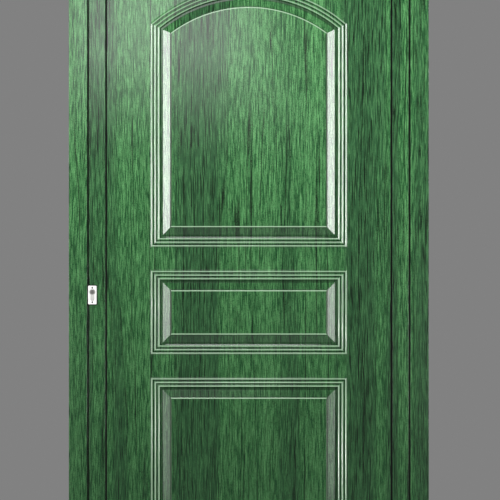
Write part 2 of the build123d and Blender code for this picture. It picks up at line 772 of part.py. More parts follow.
def hinge_caps():
    """Chamfered caps on both ends of each hinge."""
    caps = []
    for height in HINGE_HEIGHTS:
        for sign in (-1, 1):
            end = (HINGE_X, HINGE_Y, height + sign * HINGE_HALF)
            cap = rod(KNUCKLE_RADIUS, end, (HINGE_X, HINGE_Y, end[2] + sign * CAP_HEIGHT))
            rim = cap.faces().sort_by(Axis.Z)[-1 if sign > 0 else 0].edges()
            caps.append(chamfer(rim, CAP_CHAMFER).solid())
    return Compound(caps)


def hinge_screw_places(x, depth, heights):
    """A screw near each end of every hinge plate, facing into the house."""
    spread = HINGE_SCREW_SPREAD / 2
    return screw_places([(x, depth, z + end * spread) for z in heights for end in (-1, 1)], (0, 1, 0))


def hinge_frame_screw_places(heights=HINGE_HEIGHTS):
    x = (HALF_WIDTH - HINGE_FRAME_EDGE + HINGE_X + KNUCKLE_RADIUS - HINGE_WEB) / 2
    return hinge_screw_places(x, INSIDE + HINGE_PLATE, heights)


def hinge_sash_screw_places(heights=HINGE_HEIGHTS):
    x = HINGE_X - HINGE_SASH_SCREW_INSET
    return hinge_screw_places(x, SASH_INSIDE + HINGE_PLATE, heights)


# Mortise lock


def spindle_height():
    return CYLINDER_HEIGHT + LEVER_SPACING


def case_span():
    """Lowest and highest point of the lock case."""
    return CYLINDER_HEIGHT - CASE_BELOW, spindle_height() + CASE_ABOVE


def latch_height():
    return spindle_height() + LATCH_RISE


def dead_bolt_height():
    return CYLINDER_HEIGHT + DEAD_BOLT_RISE


def bolt_openings():
    """Middle height and height of the latch and of the dead bolt."""
    return [(latch_height(), LATCH_HEIGHT), (dead_bolt_height(), DEAD_BOLT_HEIGHT)]


def bolt_pockets(near, far, clearance=BOLT_CLEARANCE):
    """Blocks that open a plate or a wall for the latch and the dead bolt."""
    half = LATCH_THICKNESS / 2 + clearance
    return [
        block(
            from_lock_edge(near), from_lock_edge(far), LOCK_PLANE - half, LOCK_PLANE + half,
            middle - height / 2 - clearance, middle + height / 2 + clearance,
        )
        for middle, height in bolt_openings()
    ]


def face_plate(near, thickness, width, low, high):
    """A flat plate with round ends on the edge of a profile, from near inwards."""
    outline = Pos((low + high) / 2, -LOCK_PLANE) * SlotOverall(high - low, width)
    plane = Plane((from_lock_edge(near), 0, 0), x_dir=(0, 0, 1), z_dir=(1, 0, 0))
    return plane * extrude(outline, thickness)


def strike_span():
    heights = [middle + side * height / 2 for middle, height in bolt_openings() for side in (-1, 1)]
    return min(heights) - STRIKE_TAB, max(heights) + STRIKE_TAB


def strike_screw_places():
    low, high = strike_span()
    x = from_lock_edge(FRAME_TUBE + STRIKE)
    heights = (low + STRIKE_TAB / 2, high - STRIKE_TAB / 2)
    return screw_places([(x, LOCK_PLANE, z) for z in heights], (1, 0, 0))


def strike_plate():
    """Keep on the lock jamb that takes the latch and the dead bolt."""
    plate = face_plate(FRAME_TUBE, STRIKE, STRIKE_WIDTH, *strike_span())
    for pocket in bolt_pockets(FRAME_TUBE - OVERRUN, FRAME_TUBE + STRIKE + OVERRUN):
        plate -= pocket
    return cut_screws(plate, strike_screw_places(), PLATE_SCREW)


def faceplate_span():
    low, high = case_span()
    return low - FACEPLATE_TAB, high + FACEPLATE_TAB


def faceplate_screw_places():
    low, high = faceplate_span()
    x = from_lock_edge(SASH_EDGE - FACEPLATE)
    heights = (low + FACEPLATE_TAB / 2, high - FACEPLATE_TAB / 2)
    return screw_places([(x, LOCK_PLANE, z) for z in heights], (-1, 0, 0))


def cylinder_screw_height():
    return CYLINDER_HEIGHT + BARREL_RADIUS - BARREL_HEIGHT + CYLINDER_SCREW_RISE


def lock_faceplate():
    """Forend of the lock on the edge of the leaf."""
    plate = face_plate(SASH_EDGE - FACEPLATE, FACEPLATE, FACEPLATE_WIDTH, *faceplate_span())
    for pocket in bolt_pockets(SASH_EDGE - FACEPLATE - OVERRUN, SASH_EDGE + OVERRUN, SLIDE_CLEARANCE):
        plate -= pocket
    plate -= cylinder_screw_solid(SCREW_FIT)
    return cut_screws(plate, faceplate_screw_places(), PLATE_SCREW)


def case_box(wall):
    """The lock case's outside, taken in by wall on every side."""
    low, high = case_span()
    half = CASE_THICKNESS / 2 - wall
    near, far = from_lock_edge(SASH_EDGE + wall), from_lock_edge(REBATE_EDGE - WALL - CASE_BACK_GAP - wall)
    return block(near, far, LOCK_PLANE - half, LOCK_PLANE + half, low + wall, high - wall)


def open_case(shell):
    """Opens the case's walls for the bolts, the cylinder, the spindle and the cylinder's screw."""
    inner = SASH_EDGE + CASE_WALL + SLIDE_CLEARANCE
    for pocket in bolt_pockets(SASH_EDGE - OVERRUN, inner, SLIDE_CLEARANCE):
        shell -= pocket
    half = CASE_THICKNESS / 2 + OVERRUN
    shell -= barrel(BARREL_CLEARANCE, LOCK_PLANE - half, LOCK_PLANE + half)
    height = spindle_height()
    shell -= rod(FOLLOWER_JOURNAL, (LOCK_X, LOCK_PLANE - half, height), (LOCK_X, LOCK_PLANE + half, height))
    return shell - cylinder_screw_solid(SCREW_FIT)


def cover_space():
    """The layer of the case that its cover plate fills."""
    low, high = case_span()
    inner = LOCK_PLANE + CASE_THICKNESS / 2 - CASE_WALL
    near, far = from_lock_edge(0), from_lock_edge(LIP_EDGE)
    return block(near, far, inner, inner + CASE_THICKNESS, low - OVERRUN, high + OVERRUN)


def lock_case():
    """Folded tray of the lock, open towards its cover."""
    return open_case(case_box(0) - case_box(CASE_WALL) - cover_space())


def lock_cover():
    return open_case(case_box(0) & cover_space())


def latch_bolt():
    """Latch with a bevelled nose towards the outside, and a tail with the tab that the follower pulls."""
    half, tall = LATCH_THICKNESS / 2, LATCH_HEIGHT / 2
    front = SASH_EDGE - FACEPLATE - LATCH_TRAVEL
    back = front + LATCH_HEAD
    outline = [
        (front, LOCK_PLANE + half),
        (front, LOCK_PLANE + half - LATCH_NOSE),
        (SASH_EDGE - FACEPLATE - LATCH_NOSE, LOCK_PLANE - half),
        (back, LOCK_PLANE - half),
        (back, LOCK_PLANE + half),
    ]
    middle = latch_height()
    plane = Plane((from_lock_edge(0), 0, middle))
    head = plane * extrude(make_face(Polyline(*outline, close=True)), tall, both=True)
    tab_near = follower_tip()[0] + FOLLOWER_ARM_WIDTH / 2 + SLIDE_CLEARANCE
    tail_half = LATCH_TAIL_THICKNESS / 2
    tail_end = from_lock_edge(tab_near + LATCH_TAB)
    tail = block(
        from_lock_edge(back), tail_end, LOCK_PLANE - tail_half, LOCK_PLANE + tail_half,
        middle - LATCH_TAIL_HEIGHT / 2, middle + LATCH_TAIL_HEIGHT / 2,
    )
    tab = block(
        from_lock_edge(tab_near), tail_end, LOCK_PLANE - tail_half, LOCK_PLANE + tail_half,
        follower_tip()[1], middle,
    )
    return head + tail + tab


def latch_spring():
    """Bowed leaf spring between the latch's head and the back of the case."""
    near = from_lock_edge(SASH_EDGE - FACEPLATE - LATCH_TRAVEL + LATCH_HEAD)
    far = from_lock_edge(REBATE_EDGE - WALL - CASE_BACK_GAP - CASE_WALL)
    low = latch_height() + SPRING_RISE - SPRING_BOW_DEPTH
    high, middle = low + SPRING_THICKNESS, (near + far) / 2
    loop = ThreePointArc((near, low), (middle, low + SPRING_BOW_DEPTH), (far, low))
    loop += Line((far, low), (far, high))
    loop += ThreePointArc((far, high), (middle, high + SPRING_BOW_DEPTH), (near, high))
    loop += Line((near, high), (near, low))
    return Plane.XZ.offset(-LOCK_PLANE) * extrude(make_face(loop), SPRING_WIDTH / 2, both=True)


def dead_bolt():
    """Square bolt, flush with the forend when it is drawn back."""
    near = SASH_EDGE - FACEPLATE
    half, tall = LATCH_THICKNESS / 2, DEAD_BOLT_HEIGHT / 2
    middle = dead_bolt_height()
    bolt = block(
        from_lock_edge(near), from_lock_edge(near + DEAD_BOLT_LENGTH), LOCK_PLANE - half, LOCK_PLANE + half,
        middle - tall, middle + tall,
    )
    return chamfer(bolt.faces().sort_by(Axis.X)[0].edges(), DEAD_BOLT_CHAMFER)


def follower_tip():
    """Where the follower's arm ends at rest, as a distance from the lock edge and a height."""
    half_turn = math.radians(LEVER_ANGLE / 2)
    reach = LATCH_TRAVEL / 2 / math.sin(half_turn)
    return LOCK_AXIS - reach * math.sin(half_turn), spindle_height() + reach * math.cos(half_turn)


def lock_follower():
    """Hub on the spindle, with the arm that draws the latch back."""
    height = spindle_height()
    half = CASE_THICKNESS / 2
    inner = half - CASE_WALL - SLIDE_CLEARANCE
    hub = rod(FOLLOWER_RADIUS, (LOCK_X, LOCK_PLANE - inner, height), (LOCK_X, LOCK_PLANE + inner, height))
    journal = FOLLOWER_JOURNAL - RUNNING_FIT
    hub += rod(journal, (LOCK_X, LOCK_PLANE - half, height), (LOCK_X, LOCK_PLANE + half, height))
    tip, tip_height = follower_tip()
    tip_x = from_lock_edge(tip)
    arm_half = LATCH_TAIL_THICKNESS / 2
    reach = math.hypot(tip_x - LOCK_X, tip_height - height)
    shank = Rot(0, 0, 90 + LEVER_ANGLE / 2) * Pos(reach / 2, 0) * Rectangle(reach, FOLLOWER_ARM_WIDTH)
    arm = Pos(LOCK_X, height) * shank + Pos(tip_x, tip_height) * Circle(FOLLOWER_ARM_WIDTH / 2)
    hub += Plane.XZ.offset(-LOCK_PLANE) * extrude(arm, arm_half, both=True)
    through = half + OVERRUN
    return hub - square_bar(SPINDLE + 2 * RUNNING_FIT, LOCK_PLANE - through, LOCK_PLANE + through)


def square_bar(size, start, end):
    """A square bar through the spindle's axis."""
    half, height = size / 2, spindle_height()
    return block(LOCK_X - half, LOCK_X + half, start, end, height - half, height + half)


# Profile cylinder


def barrel(grow, start, end):
    """The cylinder's keyhole-shaped outline, grown by a clearance, between two depths."""
    radius, web = BARREL_RADIUS + grow, BARREL_WEB / 2 + grow
    low = CYLINDER_HEIGHT + BARREL_RADIUS - BARREL_HEIGHT + BARREL_WEB / 2
    outline = Pos(LOCK_X, CYLINDER_HEIGHT) * Circle(radius)
    outline += Pos(LOCK_X, low) * Circle(web)
    outline += Pos(LOCK_X, (CYLINDER_HEIGHT + low) / 2) * Rectangle(2 * web, CYLINDER_HEIGHT - low)
    return Plane.XZ.offset(-end) * extrude(outline, end - start)


def barrel_ends():
    """Depths of the cylinder's outside and inside ends."""
    return escutcheon_face() - BARREL_PROUD, SASH_INSIDE + BACKPLATE + BARREL_PROUD


def cylinder_body():
    """Profile cylinder, bored for its plug, slotted for the cam and tapped for its screw."""
    start, end = barrel_ends()
    body = barrel(0, start, end)
    bore = PLUG_RADIUS + RUNNING_FIT
    body -= rod(bore, (LOCK_X, start - OVERRUN, CYLINDER_HEIGHT), (LOCK_X, end + OVERRUN, CYLINDER_HEIGHT))
    half = CAM_WIDTH / 2 + CAM_CLEARANCE
    slot_low = CYLINDER_HEIGHT + BARREL_RADIUS - BARREL_HEIGHT + BRIDGE_HEIGHT
    body -= block(
        LOCK_X - BARREL_HEIGHT, LOCK_X + BARREL_HEIGHT, LOCK_PLANE - half, LOCK_PLANE + half,
        slot_low, CYLINDER_HEIGHT + BARREL_HEIGHT,
    )
    return body - cylinder_screw_solid(SCREW_FIT)


def cylinder_screw_solid(grow):
    """The long screw from the forend into the cylinder, grown by a fit."""
    z = cylinder_screw_height()
    face = from_lock_edge(SASH_EDGE - FACEPLATE)
    end = (LOCK_X + BARREL_WEB / 2 + grow, LOCK_PLANE, z)
    screw = rod(CYLINDER_SCREW_RADIUS + grow, (face, LOCK_PLANE, z), end)
    head_end = (face + CYLINDER_SCREW_HEAD_HEIGHT + grow, LOCK_PLANE, z)
    return screw + rod(CYLINDER_SCREW_HEAD + grow, (face, LOCK_PLANE, z), head_end)


def cylinder_screw():
    screw = cylinder_screw_solid(0)
    half, tall = CYLINDER_SCREW_HEAD * CROSS_WIDTH_SHARE, CYLINDER_SCREW_HEAD
    face = from_lock_edge(SASH_EDGE - FACEPLATE)
    z = cylinder_screw_height()
    depth = CYLINDER_SCREW_HEAD_HEIGHT * CROSS_DEPTH_SHARE
    return screw - block(face, face + depth, LOCK_PLANE - half, LOCK_PLANE + half, z - tall, z + tall)


def outer_plug():
    """Key plug, with its keyway open to the outside."""
    start = barrel_ends()[0]
    end = LOCK_PLANE - CAM_WIDTH / 2
    plug = rod(PLUG_RADIUS, (LOCK_X, start, CYLINDER_HEIGHT), (LOCK_X, end, CYLINDER_HEIGHT))
    width, tall = KEYWAY_WIDTH / 2, KEYWAY_HEIGHT / 2
    return plug - block(
        LOCK_X - width, LOCK_X + width, start - OVERRUN, start + KEYWAY_DEPTH,
        CYLINDER_HEIGHT - tall, CYLINDER_HEIGHT + tall,
    )


def cylinder_cam():
    """Cam between the two ends of the cylinder, with its lobe hanging in the barrel's web at rest."""
    half = CAM_WIDTH / 2
    ring = Pos(LOCK_X, CYLINDER_HEIGHT) * Circle(CAM_RING)
    ring += Pos(LOCK_X, CYLINDER_HEIGHT - CAM_REACH / 2) * Rectangle(CAM_LOBE, CAM_REACH)
    return Plane.XZ.offset(-LOCK_PLANE) * extrude(ring, half, both=True)


def thumb_turn():
    """Inside plug with a round collar and a flat grip."""
    start, end = LOCK_PLANE + CAM_WIDTH / 2, barrel_ends()[1]
    collar = end + TURN_COLLAR_LENGTH
    turn = rod(PLUG_RADIUS, (LOCK_X, start, CYLINDER_HEIGHT), (LOCK_X, end, CYLINDER_HEIGHT))
    turn += rod(TURN_COLLAR, (LOCK_X, end, CYLINDER_HEIGHT), (LOCK_X, collar, CYLINDER_HEIGHT))
    grip = Plane.XZ.offset(-collar - TURN_LENGTH) * extrude(
        Pos(LOCK_X, CYLINDER_HEIGHT) * SlotOverall(TURN_HEIGHT, TURN_THICKNESS, 90), TURN_LENGTH
    )
    grip = fillet(grip.faces().sort_by(Axis.Y)[-1].edges(), TURN_ROUND)
    return turn + grip


# Furniture


def escutcheon_middle():
    return CYLINDER_HEIGHT - ESCUTCHEON_DROP


def escutcheon_face():
    """Depth of the outside plate's face, in front of its sealing pad."""
    return OUTSIDE - ESCUTCHEON_PAD - ESCUTCHEON


def escutcheon_screw_places():
    reach = ESCUTCHEON_HEIGHT / 2 - ESCUTCHEON_SCREW_INSET
    points = [(LOCK_X, escutcheon_face(), escutcheon_middle() + sign * reach) for sign in (-1, 1)]
    return screw_places(points, (0, -1, 0))


def escutcheon_sheet(back, thickness, margin):
    """A rounded sheet in front of the depth back, larger than the plate by a margin."""
    outline = Pos(LOCK_X, escutcheon_middle()) * RectangleRounded(
        ESCUTCHEON_WIDTH + 2 * margin, ESCUTCHEON_HEIGHT + 2 * margin, ESCUTCHEON_ROUND + margin
    )
    return Plane.XZ.offset(-back) * extrude(outline, thickness)


def open_to_cylinder(sheet):
    """The same sheet with its cut-outs for the cylinder and the two screws."""
    sheet -= barrel(BARREL_CLEARANCE, escutcheon_face() - OVERRUN, OUTSIDE + OVERRUN)
    return cut_screws(sheet, escutcheon_screw_places(), SMALL_SCREW)


def escutcheon_pad():
    """Thin sealing pad, which shows as a dark line round the plate."""
    return open_to_cylinder(escutcheon_sheet(OUTSIDE, ESCUTCHEON_PAD, ESCUTCHEON_PAD_MARGIN))


def outer_escutcheon():
    """Small plate round the keyhole on the outside of the lock stile."""
    plate = escutcheon_sheet(OUTSIDE - ESCUTCHEON_PAD, ESCUTCHEON, 0)
    return open_to_cylinder(chamfer(plate.faces().sort_by(Axis.Y)[0].edges(), ESCUTCHEON_EDGE))


def backplate_span():
    return CYLINDER_HEIGHT - BACKPLATE_BELOW, spindle_height() + BACKPLATE_ABOVE


def backplate_screw_places():
    low, high = backplate_span()
    y = SASH_INSIDE + BACKPLATE
    points = [(LOCK_X, y, z) for z in (low + BACKPLATE_SCREW_INSET, high - BACKPLATE_SCREW_INSET)]
    return screw_places(points, (0, 1, 0))


def handle_backplate():
    """Hollow plate behind the inside handle."""
    low, high = backplate_span()
    face = SASH_INSIDE + BACKPLATE
    half = BACKPLATE_WIDTH / 2
    plate = block(LOCK_X - half, LOCK_X + half, SASH_INSIDE, face, low, high)
    plate = fillet(plate.faces().sort_by(Axis.Y)[-1].edges(), BACKPLATE_EDGE)
    inner = half - BACKPLATE_WALL
    plate -= block(
        LOCK_X - inner, LOCK_X + inner, SASH_INSIDE - OVERRUN, face - BACKPLATE_WALL,
        low + BACKPLATE_WALL, high - BACKPLATE_WALL,
    )
    plate -= barrel(BARREL_CLEARANCE, SASH_INSIDE, face + OVERRUN)
    height = spindle_height()
    bore = LEVER_NECK + LEVER_NECK_FIT
    plate -= rod(bore, (LOCK_X, SASH_INSIDE, height), (LOCK_X, face + OVERRUN, height))
    return cut_screws(plate, backplate_screw_places(), BACKPLATE_SCREW)


def lever_handle():
    """Return-to-door lever on a round neck, bored square for the spindle."""
    height = spindle_height()
    face = SASH_INSIDE + BACKPLATE
    root, reach = face - LEVER_NECK_SEAT, face + LEVER_STANDOFF
    end_x = LOCK_X + LEVER_LENGTH
    route = [(LOCK_X, root, height), (LOCK_X, reach, height), (end_x, reach, height)]
    route.append((end_x, reach - LEVER_RETURN, height))
    path = FilletPolyline(*route, radius=LEVER_BEND_RADIUS)
    plane = Plane(route[0], x_dir=(0, 0, 1), z_dir=(0, 1, 0))
    lever = sweep(plane * SlotOverall(LEVER_GRIP_HEIGHT, LEVER_GRIP_DEPTH), path)
    tip = min(lever.faces().filter_by(GeomType.PLANE), key=lambda piece: abs(piece.center().X - end_x))
    lever = chamfer(tip.edges(), LEVER_END_CHAMFER)
    lever += rod(LEVER_NECK, route[0], (LOCK_X, face + LEVER_NECK, height))
    return lever - square_bar(SPINDLE + 2 * RUNNING_FIT, root - OVERRUN, spindle_end() + RUNNING_FIT)


def spindle_end():
    return SASH_INSIDE + BACKPLATE + LEVER_NECK


def handle_spindle():
    return square_bar(SPINDLE, LOCK_PLANE - CASE_THICKNESS / 2, spindle_end())


def main():
    """Builds every piece and writes one file for each."""
    inner_block = moulded_block(PANEL_OUTSIDE + SKIN)
    outer_skin = moulded_block(PANEL_OUTSIDE) - inner_block
    pieces = {
        "frame_lock_jamb": frame_lock_jamb(),
        "frame_hinge_jamb": frame_hinge_jamb(),
        "frame_head": frame_head(),
        "frame_corner_cleats": frame_corner_cleats(),
        "threshold": threshold(),
        "outer_rebate_seal": outer_rebate_seal(),
        "strike_plate": strike_plate(),
        "strike_screws": screws_at(strike_screw_places(), PLATE_SCREW),
        "sash_lock_stile": sash_lock_stile(),
        "sash_hinge_stile": sash_hinge_stile(),
        "sash_top_rail": sash_top_rail(),
        "sash_bottom_rail": sash_bottom_rail(),
        "sash_corner_cleats": sash_corner_cleats(),
        "inner_rebate_seal": inner_rebate_seal(),
        "bottom_seal": bottom_seal(),
        "outer_panel_skin": outer_skin,
        "panel_core": panel_core(inner_block),
        "inner_panel_skin": to_inside(outer_skin),
        "panel_outer_gasket": panel_outer_gasket(),
        "panel_inner_gasket": panel_inner_gasket(),
        "panel_packers": panel_packers(),
        "hinge_bushes": hinge_bushes(),
        "hinge_caps": hinge_caps(),
        "hinge_frame_screws": screws_at(hinge_frame_screw_places(), PLATE_SCREW),
        "hinge_sash_screws": screws_at(hinge_sash_screw_places(), PLATE_SCREW),
        "lock_case": lock_case(),
        "lock_cover": lock_cover(),
        "lock_faceplate": lock_faceplate(),
        "faceplate_screws": screws_at(faceplate_screw_places(), PLATE_SCREW),
        "latch_bolt": latch_bolt(),
        "latch_spring": latch_spring(),
        "dead_bolt": dead_bolt(),
        "lock_follower": lock_follower(),
        "cylinder_body": cylinder_body(),
        "cylinder_screw": cylinder_screw(),
        "outer_plug": outer_plug(),
        "cylinder_cam": cylinder_cam(),
        "thumb_turn": thumb_turn(),
        "outer_escutcheon": outer_escutcheon(),
        "escutcheon_pad": escutcheon_pad(),
        "escutcheon_screws": screws_at(escutcheon_screw_places(), SMALL_SCREW),
        "handle_backplate": handle_backplate(),
        "backplate_screws": screws_at(backplate_screw_places(), BACKPLATE_SCREW),
        "handle_spindle": handle_spindle(),
        "lever_handle": lever_handle(),
    }
    for side in ("left", "right", "top", "bottom"):
        pieces[f"glazing_bead_{side}"] = glazing_bead(side)
    for name, height in zip(("bottom", "middle", "top"), HINGE_HEIGHTS):
        pieces[f"hinge_frame_leaf_{name}"] = hinge_frame_leaf(height)
        pieces[f"hinge_sash_leaf_{name}"] = hinge_sash_leaf(height)
        pieces[f"hinge_pin_{name}"] = hinge_pin(height)
    os.makedirs("parts", exist_ok=True)
    for name, piece in pieces.items():
        export_step(piece, f"parts/{name}.step")
    print(len(pieces), "pieces written")


main()
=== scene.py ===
import json
import math
from types import SimpleNamespace

import bmesh
import bpy
from bpy.props import FloatProperty, FloatVectorProperty, IntProperty, PointerProperty
from bpy.types import Operator, Panel, PropertyGroup
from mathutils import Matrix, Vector

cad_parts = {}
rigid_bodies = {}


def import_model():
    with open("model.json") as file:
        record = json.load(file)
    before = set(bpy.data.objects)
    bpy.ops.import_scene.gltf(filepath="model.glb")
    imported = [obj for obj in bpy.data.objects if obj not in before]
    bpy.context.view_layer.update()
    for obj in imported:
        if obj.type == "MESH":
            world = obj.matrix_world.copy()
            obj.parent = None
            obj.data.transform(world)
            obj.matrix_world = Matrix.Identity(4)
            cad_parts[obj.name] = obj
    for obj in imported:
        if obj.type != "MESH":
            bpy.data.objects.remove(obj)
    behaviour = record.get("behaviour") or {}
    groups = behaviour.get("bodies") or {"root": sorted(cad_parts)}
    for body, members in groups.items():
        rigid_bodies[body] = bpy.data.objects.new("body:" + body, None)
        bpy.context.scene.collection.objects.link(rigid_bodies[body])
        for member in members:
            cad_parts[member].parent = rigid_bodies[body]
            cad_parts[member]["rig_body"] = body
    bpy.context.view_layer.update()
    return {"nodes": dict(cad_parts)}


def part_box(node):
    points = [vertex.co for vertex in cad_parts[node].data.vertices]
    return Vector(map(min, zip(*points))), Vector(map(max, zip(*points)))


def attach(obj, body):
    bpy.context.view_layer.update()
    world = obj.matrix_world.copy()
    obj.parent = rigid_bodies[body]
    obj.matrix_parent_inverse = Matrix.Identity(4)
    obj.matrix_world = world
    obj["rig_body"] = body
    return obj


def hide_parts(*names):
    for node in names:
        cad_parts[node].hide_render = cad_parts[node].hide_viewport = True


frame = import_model()
PANEL_LOW, PANEL_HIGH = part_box("outer_panel_skin")

bl_info = {
    "name": "Panelled front door",
    "version": (1, 0, 0),
    "blender": (4, 5, 0),
    "location": "3D View > Sidebar > Door",
    "description": "Dresses a panelled front door in its frame, piece by piece",
    "category": "Object",
}


# Sizes and colours

def length(name, description, default):
    """A length in metres that can be changed."""
    return FloatProperty(name=name, description=description, default=default, unit="LENGTH", precision=4)


def share(name, description, default):
    """A share between nothing and all."""
    return FloatProperty(name=name, description=description, default=default, min=0, max=1,
                         subtype="FACTOR")


def colour(name, description, default):
    """A linear colour."""
    return FloatVectorProperty(name=name, description=description, default=default, min=0, max=1,
                               size=3, subtype="COLOR")


class DoorMoulding(PropertyGroup):
    """The moulded fields pressed into both skins of the panel."""
    half_width: length("Half width", "From the middle of the door to the side of a field", 0.2744)
    lower_foot: length("Lower foot", "Bottom of the lower field", 0.2216)
    lower_head: length("Lower head", "Top of the lower field", 0.7716)
    middle_foot: length("Middle foot", "Bottom of the middle field", 0.8331)
    middle_head: length("Middle head", "Top of the middle field", 1.0701)
    upper_foot: length("Upper foot", "Bottom of the arched field", 1.1316)
    upper_crown: length("Upper crown", "Crown of the arched field", 1.8574)
    arch_rise: length("Arch rise", "Height of the arch over its springing", 0.102)
    arch_steps: IntProperty(name="Arch steps", description="Straight runs along the arch", default=40,
                            min=8)
    spring_run: length("Spring run", "Straight run of the arch at each springing", 0.035)
    reed_count: IntProperty(name="Reeds", description="Reeds round each field", default=3, min=1)
    reed_pitch: length("Reed pitch", "From one reed to the next", 0.010)
    reed_foot: length("Reed foot", "Width of a reed's steep outer side", 0.0007)
    reed_step: length("Reed step", "Height of a reed's steep outer side", 0.0007)
    reed_slope: length("Reed slope", "Width of a reed's sloping face", 0.0052)
    reed_fall: length("Reed fall", "Width of a reed's inner side", 0.0021)
    valley_depth: length("Valley depth", "Depth of the valley inside the reeds", 0.002)
    valley_width: length("Valley width", "Flat width of the valley", 0.0053)
    bevel_width: length("Bevel width", "Width of the sloping bevel", 0.021)
    bevel_rise: length("Bevel rise", "Height that the bevel climbs", 0.006)
    quirk_width: length("Quirk width", "Width of the small step at the field", 0.001)
    quirk_rise: length("Quirk rise", "Height of the small step at the field", 0.0012)
    sheet: length("Sheet", "Thickness of the pressed skin", 0.002)
    edge: length("Edge", "Rounding of the pressed edges", 0.0003)


class DoorFilm(PropertyGroup):
    """The green wood-grain film on the panel and the profiles."""
    deep: colour("Deep green", "Dark bands of the figure", (0.008, 0.068, 0.018))
    leaf: colour("Leaf green", "Body of the film", (0.054, 0.218, 0.066))
    bright: colour("Bright green", "Light bands of the figure", (0.138, 0.398, 0.142))
    dusk: colour("Dusk green", "Greyer bands between the light ones", (0.036, 0.110, 0.047))
    # The pore colour is also the colour that all painted shade on the film darkens towards.
    pore_and_shade: colour("Pore", "Pores and cracks of the grain", (0.002, 0.015, 0.004))
    # Pale green is a painted highlight on the crests of the moulding and on the lines round its fields.
    pale: colour("Pale green", "Film stretched over the crests of the moulding", (0.42, 0.62, 0.42))
    # Painted shade: the film is painted darker towards the foot of the door, as light falls off lower down.
    foot_shade: share("Painted_foot_shade", "How much darker the film is at the foot of the door", 0.66)
    shade_foot: length("Painted_shade foot", "Height below which the film is darkest", 0.3)
    shade_height: length("Painted_shade height", "Height above which the film keeps its colour", 1.9)
    figure: length("Figure", "Width of the broad bands", 0.075)
    streak: length("Streak", "Width of the fine streaks", 0.0018)
    stretch: FloatProperty(name="Stretch", description="Length of a streak over its width", default=20,
                           min=1)
    roughness: share("Roughness", "Roughness of the film", 0.4)
    lacquer: share("Lacquer", "Strength of the lacquer over the film", 1.0)
    lacquer_roughness: share("Lacquer roughness", "Roughness of the lacquer", 0.12)


class DoorHardware(PropertyGroup):
    """Colours of the seals and the metal parts."""
    rubber: colour("Rubber", "Seals and gaskets", (0.003, 0.003, 0.003))
    steel: colour("Steel", "Hinges, plates, bolts and screws", (0.46, 0.46, 0.46))
    dark_steel: colour("Dark steel", "Blackened screws of the keyhole plate", (0.05, 0.05, 0.05))
    nickel: colour("Nickel", "Keyhole plate and handle", (0.88, 0.88, 0.86))
    worn_nickel: colour("Worn nickel", "Cylinder of the lock", (0.42, 0.42, 0.40))
    # Painted shade: the key plug is painted far darker than nickel, for the shade in its keyway and round
    # its rim.
    shaded_plug_nickel: colour("Plug nickel", "Key plug of the lock", (0.14, 0.14, 0.13))
    aluminium: colour("Aluminium", "Threshold and corner cleats", (0.56, 0.57, 0.58))
    foam: colour("Foam", "Core of the panel", (0.72, 0.62, 0.38))
    nylon: colour("Nylon", "Bushes and packers", (0.025, 0.025, 0.026))
    profile_edge: length("Profile edge", "Rounding along the profiles", 0.0004)


class DoorStage(PropertyGroup):
    """Floor, light and camera."""
    view_width: length("View width", "Width that the camera sees at the face of the door", 1.3889)
    view_side: length("View side", "Sideways place of the camera", 0.0033)
    view_height: length("View height", "Height of the camera", 1.125)
    view_distance: length("View distance", "From the camera to the face of the door", 6.0)
    floor_radius: length("Floor radius", "Radius of the floor", 3.2)
    floor: colour("Floor", "Pale floor", (0.72, 0.72, 0.72))
    backdrop: colour("Backdrop", "Surroundings that the camera and the metal show", (0.22, 0.22, 0.22))
    sky: colour("Sky", "Surroundings as they light the door", (0.13, 0.13, 0.13))


class DoorLook(PropertyGroup):
    """Everything about the door that can be changed."""
    moulding: PointerProperty(type=DoorMoulding)
    film: PointerProperty(type=DoorFilm)
    hardware: PointerProperty(type=DoorHardware)
    stage: PointerProperty(type=DoorStage)


# Materials

# Sockets of a Mix node: its factor, its two colours and what they give
MIX_FACTOR, MIX_FIRST, MIX_SECOND, MIX_RESULT = 0, 6, 7, 2


